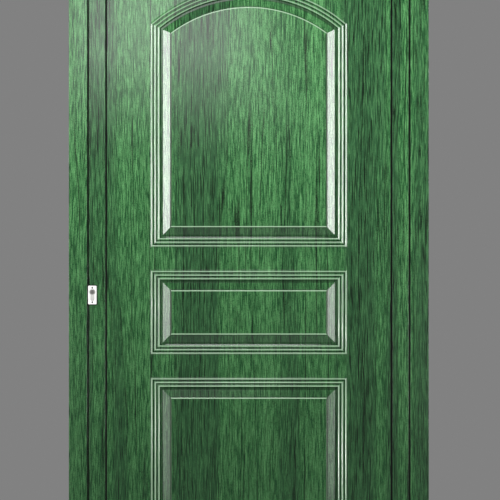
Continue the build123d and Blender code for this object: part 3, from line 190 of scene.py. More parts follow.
class Bench:
    """One material on the bench: short ways to add its nodes and link them."""

    def __init__(self, name):
        self.material = bpy.data.materials.new(name)
        self.material.use_nodes = True
        self.tree = self.material.node_tree
        self.shader = self.tree.nodes["Principled BSDF"]

    def feed(self, node, socket, value):
        """Links a socket to another node, or sets its value."""
        if isinstance(value, bpy.types.NodeSocket):
            self.tree.links.new(value, node.inputs[socket])
        else:
            node.inputs[socket].default_value = value

    def add(self, kind, modes=(), **sockets):
        """A node of one kind, with its modes and its sockets."""
        node = self.tree.nodes.new(kind)
        for mode, value in dict(modes).items():
            setattr(node, mode, value)
        for socket, value in sockets.items():
            self.feed(node, socket.replace("_", " "), value)
        return node

    def surface(self, **sockets):
        """The sockets of the shader itself."""
        for socket, value in sockets.items():
            self.feed(self.shader, socket.replace("_", " "), value)

    def place(self, along="Z", shift=(0, 0, 0), depth=1.0):
        """Object coordinates, turned so that the grain runs along Z, and moved by a shift.
        A small depth carries the pattern of the face straight over its relief."""
        turn = {"Z": 0, "X": math.pi / 2}[along]
        coords = self.add("ShaderNodeTexCoord").outputs["Object"]
        return self.add("ShaderNodeMapping", Vector=coords, Rotation=(0, turn, 0), Location=shift,
                        Scale=(1, depth, 1)).outputs[0]

    def noise(self, place, across, along, detail=2.0, roughness=0.5):
        """Noise with features so wide across the grain and so long along it, in metres."""
        scale = (1 / across, 1 / across, 1 / along)
        vector = self.add("ShaderNodeMapping", Vector=place, Scale=scale).outputs[0]
        return self.add("ShaderNodeTexNoise", Vector=vector, Scale=1, Detail=detail,
                        Roughness=roughness).outputs["Fac"]

    def sum(self, a, b, operation="ADD"):
        """Two values joined by one operation."""
        node = self.add("ShaderNodeMath", {"operation": operation})
        self.feed(node, 0, a)
        self.feed(node, 1, b)
        return node.outputs[0]

    def blend(self, *weighted):
        """A weighted sum of (value, weight) pairs."""
        total = 0
        for value, weight in weighted:
            total = self.sum(self.sum(value, weight, "MULTIPLY"), total)
        return total

    def span(self, value, low, high, start=0.0, end=1.0):
        """A value stretched from one span to another and held within it."""
        node = self.add("ShaderNodeMapRange", {"interpolation_type": "SMOOTHSTEP"}, Value=value)
        for socket, bound in (("From Min", low), ("From Max", high), ("To Min", start), ("To Max", end)):
            self.feed(node, socket, bound)
        return node.outputs["Result"]

    def ramp(self, value, stops):
        """Colours along a value, as (place, colour) stops."""
        node = self.add("ShaderNodeValToRGB", Fac=value)
        elements = node.color_ramp.elements
        while len(elements) < len(stops):
            elements.new(1.0)
        for element, (position, tint) in zip(elements, stops):
            element.position = position
            element.color = (*tint, 1)
        return node.outputs["Color"]

    def mix(self, factor, a, b):
        """Two colours mixed by a factor."""
        node = self.add("ShaderNodeMix", {"data_type": "RGBA"})
        self.feed(node, MIX_FACTOR, factor)
        self.feed(node, MIX_FIRST, a if isinstance(a, bpy.types.NodeSocket) else (*a, 1))
        self.feed(node, MIX_SECOND, b if isinstance(b, bpy.types.NodeSocket) else (*b, 1))
        return node.outputs[MIX_RESULT]

    def bump(self, height, depth):
        """A fine relief on the surface, so deep in metres."""
        relief = self.add("ShaderNodeBump", Height=height, Distance=depth, Strength=1.0)
        self.surface(Normal=relief.outputs[0])


# Grain of the film
# The drift and the figure count in widths of a broad band, the rest in widths or lengths of a streak.
# BROKEN is the roughness of a noise whose lines break up, and a noise wanders about its NOISE_MIDDLE.

DRIFT_WIDTH, DRIFT_LENGTH, DRIFT_REACH = 2, 6, 0.2
FIGURE_LENGTH = 60
BAND_WIDTH, BAND_LENGTH = 4, 8
VEIN_LENGTH = 2
PORE_WIDTH, PORE_HEIGHT = 1.2, 2
BROKEN = 0.6
NOISE_MIDDLE = 0.5

# Spans and places on a noise, and shares of what they give

MIDDLE_SPAN = (0.3, 0.7)
FIGURE_SHARE, BAND_SHARE, FINE_SHARE, PORE_SHARE = 0.10, 0.12, 0.44, 0.34
DEEP_PLACE, LEAF_PLACE, BRIGHT_PLACE = 0.44, 0.50, 0.57
DULL_SPAN, DULL_SHARE = (0.44, 0.54), 0.5
SPECK_SPAN, SPECK_SHARE = (0.52, 0.64), 0.55
LINE_SPAN, LINE_SHARE, LINE_LEAST = (0.54, 0.64), 0.95, 0.3
RING_PITCH, RING_WIDTH = 0.05, 0.008
CRACK_SPAN, CRACK_SHARE = (0.42, 0.55), 0.8
# Shares of the painted shade in recesses, the painted highlight on crests and the painted shade along seams
RECESS_SHADE_SHARE, CREST_HIGHLIGHT_SHARE, SEAM_SHADE_SHARE = 0.8, 0.7, 0.8
GLOSS_DRIFT = 0.06
FILM_IOR, LACQUER_IOR = 1.02, 1.5
FINE_RELIEF, SPECK_RELIEF, RELIEF_SHARE = 0.5, -0.6, 0.025

# Where each piece's film is cut from the grain, so that no two pieces show the same lines

FILM_CUTS = {
    "panel": (0.055, -0.0228, 0),
    "lock_jamb": (0.31, 0, 0.4),
    "hinge_jamb": (0.77, 0, 1.3),
    "head": (1.4, 0, 0.2),
    "lock_stile": (2.31, 0, 3.1),
    "hinge_stile": (5.02, 0, 2.2),
    "rail": (3.4, 0, 0.9),
    "upright_bead": (6.2, 0, 1.7),
    "level_bead": (7.3, 0, 0.6),
}
PANEL_GRAIN_DEPTH = 0.05


def grain_noises(bench, film, place):
    """The noises of the grain: broad figure, middle bands, fine streaks, dark veins and short pores."""
    width, streak = film.figure, film.streak
    run = streak * film.stretch
    wander = bench.noise(place, DRIFT_WIDTH * width, DRIFT_LENGTH * width, detail=1)
    drift = bench.sum(bench.sum(wander, NOISE_MIDDLE, "SUBTRACT"), DRIFT_REACH * width, "MULTIPLY")
    bent = bench.add("ShaderNodeVectorMath")
    bench.feed(bent, 0, place)
    bench.feed(bent, 1, bench.add("ShaderNodeCombineXYZ", X=drift).outputs[0])
    grain = bent.outputs[0]
    return SimpleNamespace(
        figure=bench.noise(grain, width, FIGURE_LENGTH * width),
        band=bench.noise(grain, BAND_WIDTH * streak, BAND_LENGTH * run, roughness=BROKEN),
        fine=bench.noise(grain, streak, run, detail=1, roughness=BROKEN),
        veins=bench.noise(grain, streak, VEIN_LENGTH * run, detail=1),
        pores=bench.noise(grain, PORE_WIDTH * streak, PORE_HEIGHT * streak, detail=1))


def grain_paint(bench, film, noises, specks):
    """Colour of the grain: its body, its greyer bands, and its dark specks, lines and cracks."""
    tone = bench.blend((noises.figure, FIGURE_SHARE), (noises.band, BAND_SHARE),
                       (noises.fine, FINE_SHARE), (noises.pores, PORE_SHARE))
    body = bench.ramp(tone, [(DEEP_PLACE, film.deep), (LEAF_PLACE, film.leaf), (BRIGHT_PLACE, film.bright)])
    dull = bench.span(noises.figure, *DULL_SPAN, 1.0, 0.0)
    body = bench.mix(bench.sum(dull, DULL_SHARE, "MULTIPLY"), body, film.dusk)
    lines = bench.span(noises.veins, *LINE_SPAN)
    lines = bench.sum(lines, bench.sum(dull, LINE_LEAST, "MAXIMUM"), "MULTIPLY")
    ring = bench.span(bench.sum(noises.figure, RING_PITCH, "PINGPONG"), 0.0, RING_WIDTH, 1.0, 0.0)
    crack = bench.sum(ring, bench.span(noises.band, *CRACK_SPAN), "MULTIPLY")
    dark = bench.blend((specks, SPECK_SHARE), (lines, LINE_SHARE), (crack, CRACK_SHARE))
    return bench.mix(bench.sum(dark, 1.0, "MINIMUM"), body, film.pore_and_shade)


def paint_light_and_shade(bench, film, paint):
    """Paint with painted shade towards the door's foot, in recesses and along seams, and painted highlights
    on crests.
    """
    coords = bench.add("ShaderNodeTexCoord").outputs["Object"]
    height = bench.add("ShaderNodeSeparateXYZ", Vector=coords).outputs["Z"]
    # Painted shade, darker towards the door's foot.
    foot_shade_mix = bench.span(height, film.shade_foot, film.shade_height, film.foot_shade, 0.0)
    paint = bench.mix(foot_shade_mix, paint, film.pore_and_shade)
    shade_and_highlight = bench.add("ShaderNodeAttribute", {"attribute_name": "shade_and_highlight"}).outputs["Fac"]
    paint = bench.mix(bench.span(shade_and_highlight, 0.0, -1.0, 0.0, RECESS_SHADE_SHARE), paint, film.pore_and_shade)
    paint = bench.mix(bench.span(shade_and_highlight, 0.0, 1.0, 0.0, CREST_HIGHLIGHT_SHARE), paint, film.pale)
    seam_shade = bench.add("ShaderNodeAttribute", {"attribute_name": "seam_shade"}).outputs["Fac"]
    return bench.mix(bench.sum(seam_shade, SEAM_SHADE_SHARE, "MULTIPLY"), paint, film.pore_and_shade)


def green_film(piece, along="Z", depth=1.0):
    """Lacquered wood-grain film: broad figure, fine streaks, pores and cracks along the grain."""
    film = bpy.context.scene.door_look.film
    bench = Bench(f"{piece}_film")
    noises = grain_noises(bench, film, bench.place(along, FILM_CUTS[piece], depth))
    specks = bench.span(noises.pores, *SPECK_SPAN)
    paint = paint_light_and_shade(bench, film, grain_paint(bench, film, noises, specks))
    rough, smooth = film.roughness + GLOSS_DRIFT, film.roughness - GLOSS_DRIFT
    gloss = bench.span(noises.fine, *MIDDLE_SPAN, rough, smooth)
    bench.surface(Base_Color=paint, Roughness=gloss, IOR=FILM_IOR, Coat_Weight=film.lacquer,
                  Coat_Roughness=film.lacquer_roughness, Coat_IOR=LACQUER_IOR)
    relief = bench.blend((noises.fine, FINE_RELIEF), (specks, SPECK_RELIEF))
    bench.bump(relief, RELIEF_SHARE * film.streak)
    return bench.material


# Other finishes

FINE_BRUSH = 0.0003
WORN_ROUGHNESS = (0.35, 0.5)


def black_rubber(name):
    """Extruded seal rubber: near black and dull, with a faint dusty bloom."""
    bloom_width, bloom_length, skin = 0.012, 0.05, 0.0006
    skin_depth, rubber_ior, dust = 0.00005, 1.15, 2.2
    clean_place, dusty_place, rough = 0.35, 0.8, (0.6, 0.8)
    tint = bpy.context.scene.door_look.hardware.rubber
    dusty = [dust * channel for channel in tint]
    bench = Bench(name)
    place = bench.place()
    bloom = bench.noise(place, bloom_width, bloom_length, detail=3, roughness=BROKEN)
    bench.surface(Base_Color=bench.ramp(bloom, [(clean_place, tint), (dusty_place, dusty)]),
                  IOR=rubber_ior, Roughness=bench.span(bloom, *MIDDLE_SPAN, *rough))
    bench.bump(bench.noise(place, skin, skin), skin_depth)
    return bench.material


def metal(name, tint, along="Z", brush=0.0004, pull=90, rough=(0.26, 0.40), mottle=0.9):
    """Bare or plated metal with a brushed or cast grain."""
    cloud_width, cloud_length, brush_depth = 0.02, 0.03, brush / 20
    brush_share, cloud_share = 0.5, 0.5
    worn_place, clean_place = 0.35, 0.62
    worn = [mottle * channel for channel in tint]
    bench = Bench(name)
    place = bench.place(along)
    lines = bench.noise(place, brush, brush * pull, detail=3, roughness=BROKEN)
    cloud = bench.noise(place, cloud_width, cloud_length, detail=3)
    tone = bench.blend((lines, brush_share), (cloud, cloud_share))
    bench.surface(Base_Color=bench.ramp(tone, [(worn_place, worn), (clean_place, tint)]),
                  Roughness=bench.span(lines, *MIDDLE_SPAN, *rough), Metallic=1.0)
    bench.bump(lines, brush_depth)
    return bench.material


def foamed_plastic(name):
    """Rigid foam with small open cells."""
    cell, cell_depth, cloud_width = 0.0012, 0.0004, 0.05
    cell_share, cloud_share, shadow = 0.6, 0.4, 0.7
    shade_place, clean_place, rough = 0.35, 0.6, 0.9
    tint = bpy.context.scene.door_look.hardware.foam
    shade = [shadow * channel for channel in tint]
    bench = Bench(name)
    place = bench.place()
    cells = bench.noise(place, cell, cell)
    cloud = bench.noise(place, cloud_width, cloud_width, detail=3)
    tone = bench.blend((cells, cell_share), (cloud, cloud_share))
    bench.surface(Base_Color=bench.ramp(tone, [(shade_place, shade), (clean_place, tint)]), Roughness=rough)
    bench.bump(cells, cell_depth)
    return bench.material


def moulded_nylon(name):
    """Moulded black nylon with a fine matt texture."""
    spark_width, spark_depth, paler = 0.0005, 0.00003, 1.7
    dark_place, pale_place, rough = 0.3, 0.8, (0.42, 0.58)
    tint = bpy.context.scene.door_look.hardware.nylon
    pale = [paler * channel for channel in tint]
    bench = Bench(name)
    spark = bench.noise(bench.place(), spark_width, spark_width)
    bench.surface(Base_Color=bench.ramp(spark, [(dark_place, tint), (pale_place, pale)]),
                  Roughness=bench.span(spark, *MIDDLE_SPAN, *rough))
    bench.bump(spark, spark_depth)
    return bench.material


# Pieces

# Faces that meet at more than CREASE shade apart, and long edges over SHARP are rounded.
# A moulding turns a corner where its runs differ by TURN or more, and a face within FLAT has no slope.
# A run that climbs over STEEP times as far as it goes sideways stands upright.
# Points within WELD are one point, and faces within LEVEL are one face.

CREASE = math.radians(32)
SHARP = math.radians(25)
TURN = math.radians(15)
FLAT = math.radians(2)
LEVEL = math.radians(0.5)
STEEP = 2
WELD = 1e-6
LONG_EDGE = 0.02

# Painted shade along seams: slanting faces of a rounded profile, the upright lines of a field, and bevels
# that face up

SLANT = 0.1
LINE_STEPS = 3
BEVEL_STEPS = 3
UP_BEVEL_SHADE = 0.45

# Painted light along the moulding, from painted shade in a recess at -1 to a painted highlight on a crest
# at 1

GROOVE, VALLEY, FIELD_LINE = -1.0, -0.7, 1.0
REED_LOW, REED_MIDDLE, REED_HIGH = -0.2, 0.4, 0.9
BEVEL_LOW, BEVEL_HIGH = -0.2, -0.3


def is_mitre(edge):
    """Whether two runs of a moulding in the panel's plane meet at this edge, as they do at a corner."""
    slopes = [Vector((face.normal.x, face.normal.z)) for face in edge.link_faces]
    if min(slope.length for slope in slopes) < math.sin(FLAT):
        return False
    return TURN < slopes[0].angle(slopes[1]) < math.pi - TURN


def is_upright(face):
    """Whether a face of a moulding belongs to a run that stands upright."""
    longest = max(face.edges, key=lambda edge: edge.calc_length())
    run = longest.verts[0].co - longest.verts[1].co
    return abs(run.z) > STEEP * abs(run.x)


def settle(bm, name, material, body, replaced, mitred=False):
    """Makes a finished mesh into a piece that rides on its body and stands for its solid parts."""
    for face in bm.faces:
        face.smooth = True
    for edge in bm.edges:
        soft = edge.is_manifold and edge.calc_face_angle() < CREASE
        edge.smooth = soft and not (mitred and is_mitre(edge))
    mesh = bpy.data.meshes.new(name)
    bm.to_mesh(mesh)
    bm.free()
    mesh.materials.append(material)
    piece = bpy.data.objects.new(name, mesh)
    bpy.context.scene.collection.objects.link(piece)
    even = piece.modifiers.new("even_shading", "WEIGHTED_NORMAL")
    even.keep_sharp = True
    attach(piece, body)
    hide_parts(*replaced)
    return piece


def merged_copy(node):
    """A copy of a solid part with its loose triangles joined and its flat faces whole."""
    bm = bmesh.new()
    bm.from_mesh(frame["nodes"][node].data)
    bmesh.ops.remove_doubles(bm, verts=bm.verts, dist=WELD)
    bmesh.ops.dissolve_limit(bm, angle_limit=LEVEL, verts=bm.verts, edges=bm.edges)
    return bm


def dress(node, name, material, edge=0.0):
    """A solid part with smooth round faces.  Where an edge is given, its long sharp edges are rounded,
    and the faces that slant away from the front are marked for painted shade along the seams."""
    bm = merged_copy(node)
    if edge:
        sharp = [e for e in bm.edges
                 if e.is_manifold and e.calc_length() > LONG_EDGE and e.calc_face_angle() > SHARP]
        bmesh.ops.bevel(bm, geom=sharp, offset=edge, offset_type="OFFSET", segments=2, profile=0.5,
                        affect="EDGES", clamp_overlap=True, material=-1)
        # Slanting faces get painted shade, which darkens the joints and edges as their shadow would.
        seam_shade = bm.faces.layers.float.new("seam_shade")
        for face in bm.faces:
            face[seam_shade] = float(SLANT < abs(face.normal.y) < 1 - SLANT)
    body = frame["nodes"][node]["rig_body"]
    return settle(bm, name, material, body, [node])


def coat(node, material):
    """Gives a solid part that stays as it is its material."""
    materials = frame["nodes"][node].data.materials
    materials.clear()
    materials.append(material)


def moulding_steps(moulding):
    """The moulding from the edge of a field inwards, as (inset, height, painted light, edge) points.
    Painted light says how much painted shade or painted highlight the film has there, and edge says that
    the point is rounded.
    The last points are the small step at the field and the line along it."""
    pitch, deep = moulding.reed_pitch, moulding.valley_depth
    slope = moulding.bevel_rise / moulding.bevel_width
    line = 2 * moulding.quirk_width
    points = []
    for reed in range(moulding.reed_count):
        inset = reed * pitch
        if reed:
            points.append((inset, 0.0, GROOVE, False))
        inset += moulding.reed_foot
        points.append((inset, moulding.reed_step, REED_LOW, True))
        middle = moulding.reed_slope / 2
        points.append((inset + middle, moulding.reed_step + slope * middle, REED_MIDDLE, False))
        inset += moulding.reed_slope
        points.append((inset, moulding.reed_step + slope * moulding.reed_slope, REED_HIGH, True))
        inset += moulding.reed_fall
        points.append((inset, 0.0, GROOVE, False))
    inset += deep
    points.append((inset, -deep, VALLEY, True))
    inset += moulding.valley_width
    points.append((inset, -deep, VALLEY, True))
    points.append((inset + line, slope * line - deep, BEVEL_LOW, False))
    inset += moulding.bevel_width
    top = moulding.bevel_rise - deep
    points.append((inset - line, top - slope * line, BEVEL_HIGH, False))
    points.append((inset, top, GROOVE, True))
    inset += moulding.quirk_width
    top += moulding.quirk_rise
    points.append((inset, top, FIELD_LINE, True))
    points.append((inset + line, top, FIELD_LINE, False))
    points.append((inset + line + moulding.quirk_width, top, 0.0, False))
    return points


def field_face(bm, moulding, foot, head, rise):
    """The flat face of one field, in the plane of the panel, with an arched head if it has a rise."""
    half = moulding.half_width
    corners = [(half, 0, head - rise), (half, 0, foot), (-half, 0, foot), (-half, 0, head - rise)]
    right, low_right, low_left, left = [bm.verts.new(corner) for corner in corners]
    if rise:
        radius = (half**2 + rise**2) / (2 * rise)
        middle = Vector((0, 0, head - radius))
        swing = math.asin(half / radius) - moulding.spring_run / radius
        first = bm.verts.new(middle + radius * Vector((math.sin(swing), 0, math.cos(swing))))
        bmesh.ops.spin(bm, geom=[first], cent=middle, axis=(0, -1, 0), angle=2 * swing,
                       steps=moulding.arch_steps)
        last = next(v for v in bm.verts if len(v.link_edges) == 1 and v is not first)
        runs = [(first, right), (left, last)]
    else:
        runs = [(left, right)]
    for pair in runs + [(right, low_right), (low_right, low_left), (low_left, left)]:
        bm.edges.new(pair)
    loose = [e for e in bm.edges if e.is_wire]
    return bmesh.ops.contextual_create(bm, geom=loose)["faces"][0]


def pressed_sheet(moulding):
    """One pressed skin: a flat sheet with its moulded fields, facing the outside."""
    bm = bmesh.new()
    shade_and_highlight = bm.verts.layers.float.new("shade_and_highlight")
    seam_shade = bm.faces.layers.float.new("seam_shade")
    steps = moulding_steps(moulding)
    fields = [(moulding.lower_foot, moulding.lower_head, 0.0),
              (moulding.middle_foot, moulding.middle_head, 0.0),
              (moulding.upper_foot, moulding.upper_crown, moulding.arch_rise)]
    pressed = []
    for foot, head, rise in fields:
        face = field_face(bm, moulding, foot, head, rise)
        if face.normal.y > 0:
            face.normal_flip()
        reached, height = 0.0, 0.0
        for number, (inset, level, painted_light, soft) in enumerate(steps):
            ring = bmesh.ops.inset_region(bm, faces=[face], use_boundary=True, use_even_offset=True,
                                          thickness=inset - reached, depth=level - height)["faces"]
            reached, height = inset, level
            # Painted shade on the upright lines of a field and on its lower bevels, which face up.
            for side in ring:
                if number >= len(steps) - LINE_STEPS:
                    side[seam_shade] = float(is_upright(side))
                elif number >= len(steps) - LINE_STEPS - BEVEL_STEPS:
                    low = side.calc_center_median().z < (foot + head) / 2
                    side[seam_shade] = UP_BEVEL_SHADE * float(low and not is_upright(side))
            # Each ring gets its painted shade or painted highlight.
            for vert in face.verts:
                vert[shade_and_highlight] = painted_light
            if soft:
                pressed += list(face.edges)
    outlines = [e for e in bm.edges if e.is_boundary]
    left, right, bottom, top = PANEL_LOW.x, PANEL_HIGH.x, PANEL_LOW.z, PANEL_HIGH.z
    sides = ((left, bottom), (right, bottom), (right, top), (left, top))
    corners = [bm.verts.new((x, 0, z)) for x, z in sides]
    border = [bm.edges.new((corners[i - 1], corners[i])) for i in range(len(corners))]
    bmesh.ops.triangle_fill(bm, edges=border + outlines, use_beauty=True, use_dissolve=False,
                            normal=(0, -1, 0))
    bmesh.ops.bevel(bm, geom=pressed, offset=moulding.edge, offset_type="OFFSET", segments=2, profile=0.5,
                    affect="EDGES", clamp_overlap=True, material=-1)
    bmesh.ops.recalc_face_normals(bm, faces=bm.faces)
    if sum(face.normal.y * face.calc_area() for face in bm.faces) > 0:
        bmesh.ops.reverse_faces(bm, faces=bm.faces)
    extruded = bmesh.ops.extrude_face_region(bm, geom=bm.faces, use_keep_orig=True)["geom"]
    back = [v for v in extruded if isinstance(v, bmesh.types.BMVert)]
    bmesh.ops.translate(bm, vec=(0, moulding.sheet, 0), verts=back)
    bmesh.ops.recalc_face_normals(bm, faces=bm.faces)
    return bm


class DOOR_OT_panel_skins(Operator):
    """Presses the two moulded skins of the infill panel"""
    bl_idname = "door.panel_skins"
    bl_label = "Panel skins"

    def execute(self, context):
        moulding = context.scene.door_look.moulding
        film = green_film("panel", depth=PANEL_GRAIN_DEPTH)
        proud = moulding.bevel_rise - moulding.valley_depth + moulding.quirk_rise
        bm = pressed_sheet(moulding)
        bmesh.ops.translate(bm, vec=(0, PANEL_LOW.y + proud, 0), verts=bm.verts)
        settle(bm, "pressed_outer_skin", film, "leaf", ["outer_panel_skin"], mitred=True)
        bm = pressed_sheet(moulding)
        bmesh.ops.scale(bm, vec=(1, -1, 1), verts=bm.verts)
        bmesh.ops.translate(bm, vec=(0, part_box("inner_panel_skin")[1].y - proud, 0), verts=bm.verts)
        bmesh.ops.recalc_face_normals(bm, faces=bm.faces)
        settle(bm, "pressed_inner_skin", film, "leaf", ["inner_panel_skin"], mitred=True)
        return {"FINISHED"}


class DOOR_OT_frame_profiles(Operator):
    """Dresses the two jambs and the head of the frame"""
    bl_idname = "door.frame_profiles"
    bl_label = "Frame profiles"

    def execute(self, context):
        edge = context.scene.door_look.hardware.profile_edge
        dress("frame_lock_jamb", "lock_jamb", green_film("lock_jamb"), edge)
        dress("frame_hinge_jamb", "hinge_jamb", green_film("hinge_jamb"), edge)
        dress("frame_head", "head", green_film("head", along="X"), edge)
        return {"FINISHED"}


class DOOR_OT_sash_profiles(Operator):
    """Dresses the stiles and rails of the leaf"""
    bl_idname = "door.sash_profiles"
    bl_label = "Sash profiles"

    def execute(self, context):
        edge = context.scene.door_look.hardware.profile_edge
        dress("sash_lock_stile", "lock_stile", green_film("lock_stile"), edge)
        dress("sash_hinge_stile", "hinge_stile", green_film("hinge_stile"), edge)
        rails = green_film("rail", along="X")
        dress("sash_top_rail", "top_rail", rails, edge)
        dress("sash_bottom_rail", "bottom_rail", rails, edge)
        return {"FINISHED"}


class DOOR_OT_glazing_beads(Operator):
    """Dresses the four beads that hold the panel from inside"""
    bl_idname = "door.glazing_beads"
    bl_label = "Glazing beads"

    def execute(self, context):
        edge = context.scene.door_look.hardware.profile_edge
        upright = green_film("upright_bead")
        level = green_film("level_bead", along="X")
        for side, film in (("left", upright), ("right", upright), ("top", level), ("bottom", level)):
            dress(f"glazing_bead_{side}", f"bead_{side}", film, edge)
        return {"FINISHED"}


class DOOR_OT_seals(Operator):
    """Dresses the rebate seals, the bottom seal and the panel gaskets"""
    bl_idname = "door.seals"
    bl_label = "Seals"

    def execute(self, context):
        edge = context.scene.door_look.hardware.profile_edge
        rubber = black_rubber("seal_rubber")
        for node in ("outer_rebate_seal", "inner_rebate_seal", "bottom_seal", "panel_outer_gasket",
                     "panel_inner_gasket"):
            dress(node, f"rubber_{node}", rubber, edge)
        return {"FINISHED"}


class DOOR_OT_threshold(Operator):
    """Dresses the aluminium threshold"""
    bl_idname = "door.threshold"
    bl_label = "Threshold"

    def execute(self, context):
        hardware = context.scene.door_look.hardware
        mill = metal("threshold_aluminium", hardware.aluminium, along="X", rough=(0.32, 0.46))
        dress("threshold", "sill", mill, hardware.profile_edge)
        return {"FINISHED"}


class DOOR_OT_hinges(Operator):
    """Dresses the three hinges with their pins, bushes, caps and screws"""
    bl_idname = "door.hinges"
    bl_label = "Hinges"

    def execute(self, context):
        hardware = context.scene.door_look.hardware
        steel = metal("hinge_steel", hardware.steel)
        for place in ("bottom", "middle", "top"):
            dress(f"hinge_frame_leaf_{place}", f"frame_hinge_{place}", steel)
            dress(f"hinge_sash_leaf_{place}", f"sash_hinge_{place}", steel)
            dress(f"hinge_pin_{place}", f"pin_{place}", steel)
        dress("hinge_caps", "hinge_end_caps", steel)
        dress("hinge_bushes", "hinge_nylon_bushes", moulded_nylon("bush_nylon"))
        dress("hinge_frame_screws", "frame_leaf_screws", steel)
        dress("hinge_sash_screws", "sash_leaf_screws", steel)
        return {"FINISHED"}


class DOOR_OT_lock(Operator):
    """Dresses the mortise lock, its plates, bolts and screws"""
    bl_idname = "door.lock"
    bl_label = "Lock"

    def execute(self, context):
        hardware = context.scene.door_look.hardware
        plate = metal("lock_plate_steel", hardware.steel)
        zinc = metal("lock_case_zinc", hardware.steel, brush=0.006, pull=1.3, rough=(0.30, 0.5),
                     mottle=0.75)
        for node in ("lock_faceplate", "strike_plate", "faceplate_screws", "strike_screws", "latch_bolt",
                     "dead_bolt", "cylinder_screw"):
            dress(node, f"plate_{node}", plate)
        for node in ("lock_case", "lock_cover", "lock_follower", "latch_spring", "handle_spindle"):
            dress(node, f"inside_{node}", zinc)
        return {"FINISHED"}


class DOOR_OT_keyhole(Operator):
    """Dresses the keyhole plate, its screws and the cylinder"""
    bl_idname = "door.keyhole"
    bl_label = "Keyhole plate and cylinder"

    def execute(self, context):
        hardware = context.scene.door_look.hardware
        plate = metal("keyhole_nickel", hardware.nickel, brush=FINE_BRUSH, rough=(0.62, 0.75))
        worn = metal("cylinder_nickel", hardware.worn_nickel, brush=FINE_BRUSH, rough=WORN_ROUGHNESS)
        # The plug's dark nickel is painted shade for its keyway and the gap round it.
        plug = metal("shaded_plug_nickel", hardware.shaded_plug_nickel, brush=FINE_BRUSH, rough=WORN_ROUGHNESS)
        dark = metal("keyhole_screw_steel", hardware.dark_steel, pull=1, rough=WORN_ROUGHNESS)
        dress("outer_escutcheon", "keyhole_plate", plate)
        dress("cylinder_body", "cylinder", worn)
        dress("cylinder_cam", "cam", worn)
        dress("outer_plug", "plug", plug)
        # A black rubber pad under the plate, a dark sheet that stands as painted shadow round its rim.
        dress("escutcheon_pad", "keyhole_shadow_pad", black_rubber("shadow_pad_rubber"))
        dress("escutcheon_screws", "keyhole_screws", dark)
        return {"FINISHED"}


class DOOR_OT_handle(Operator):
    """Dresses the inside handle, its plate and the thumb-turn"""
    bl_idname = "door.handle"
    bl_label = "Inside handle"

    def execute(self, context):
        hardware = context.scene.door_look.hardware
        satin = metal("handle_nickel", hardware.nickel, brush=FINE_BRUSH, rough=(0.24, 0.36))
        for node in ("handle_backplate", "backplate_screws", "lever_handle", "thumb_turn"):
            dress(node, f"satin_{node}", satin)
        return {"FINISHED"}


class DOOR_OT_inner_parts(Operator):
    """Finishes the parts inside the profiles and the panel"""
    bl_idname = "door.inner_parts"
    bl_label = "Inner parts"

    def execute(self, context):
        hardware = context.scene.door_look.hardware
        cast = metal("cleat_aluminium", hardware.aluminium, brush=0.002, pull=1.5, rough=(0.4, 0.6))
        coat("frame_corner_cleats", cast)
        coat("sash_corner_cleats", cast)
        coat("panel_core", foamed_plastic("core_foam"))
        coat("panel_packers", moulded_nylon("packer_nylon"))
        return {"FINISHED"}


# Stage

# The strips stand at both sides, where the upright bevels mirror them: level, height, length, watts.
STRIPS = (("high", 1.72, 1.25, 22), ("middle", 0.86, 0.42, 3.5), ("low", 0.3, 0.56, 1.6))
STRIP_SIDE, STRIP_AWAY, STRIP_AIM, STRIP_WIDTH = 2.13, 2.85, 0.23, 0.28

# The keys stand in front, where the panel mirrors them as one soft sheen:
# name, side, distance, height, width, length, watts.
KEYS = (("near_key", -0.44, 4.6, 2.51, 0.88, 1.02, 6.6),
        ("middle_key", -0.46, 4.7, 2.41, 1.20, 1.24, 5.7),
        ("far_key", -0.44, 4.8, 2.38, 1.59, 1.47, 3.3))

# The fills light the door from places that its flat front doesn't mirror to the camera:
# name, place, aim, width, length, watts.
FILLS = (("top", (-0.4, -1.6, 4.1), (-0.1, 0, 1.5), 1.4, 0.7, 60),
         ("right_fill", (1.7, -4.0, 0.6), (0.3, 0, 1.2), 0.8, 0.8, 62),
         ("left_fill", (-1.7, -4.0, 0.6), (-0.3, 0, 1.2), 0.8, 0.8, 31),
         ("back_fill", (1.2, 3.6, 2.4), (0, 0, 1.0), 2.2, 2.2, 130))

FLOOR_SEGMENTS = 96
FLOOR_ROUGHNESS = 0.9


def softbox(name, place, aim, width, height, watts):
    """A soft rectangular lamp that faces a point."""
    lamp = bpy.data.lights.new(name, "AREA")
    lamp.shape = "RECTANGLE"
    lamp.size, lamp.size_y, lamp.energy = width, height, watts
    holder = bpy.data.objects.new(name, lamp)
    holder.location = place
    holder.rotation_euler = (Vector(aim) - Vector(place)).to_track_quat("-Z", "Y").to_euler()
    bpy.context.scene.collection.objects.link(holder)


def studio_lamps():
    """The strips, the keys and the fills."""
    for hand, side in ((-1, "left"), (1, "right")):
        for level, middle, tall, watts in STRIPS:
            softbox(f"{side}_{level}_strip", (hand * STRIP_SIDE, -STRIP_AWAY, middle),
                    (hand * STRIP_AIM, 0, middle), STRIP_WIDTH, tall, watts)
    for name, side, away, height, wide, tall, watts in KEYS:
        softbox(name, (side, -away, height), (side, 0, height), wide, tall, watts)
    for fill in FILLS:
        softbox(*fill)


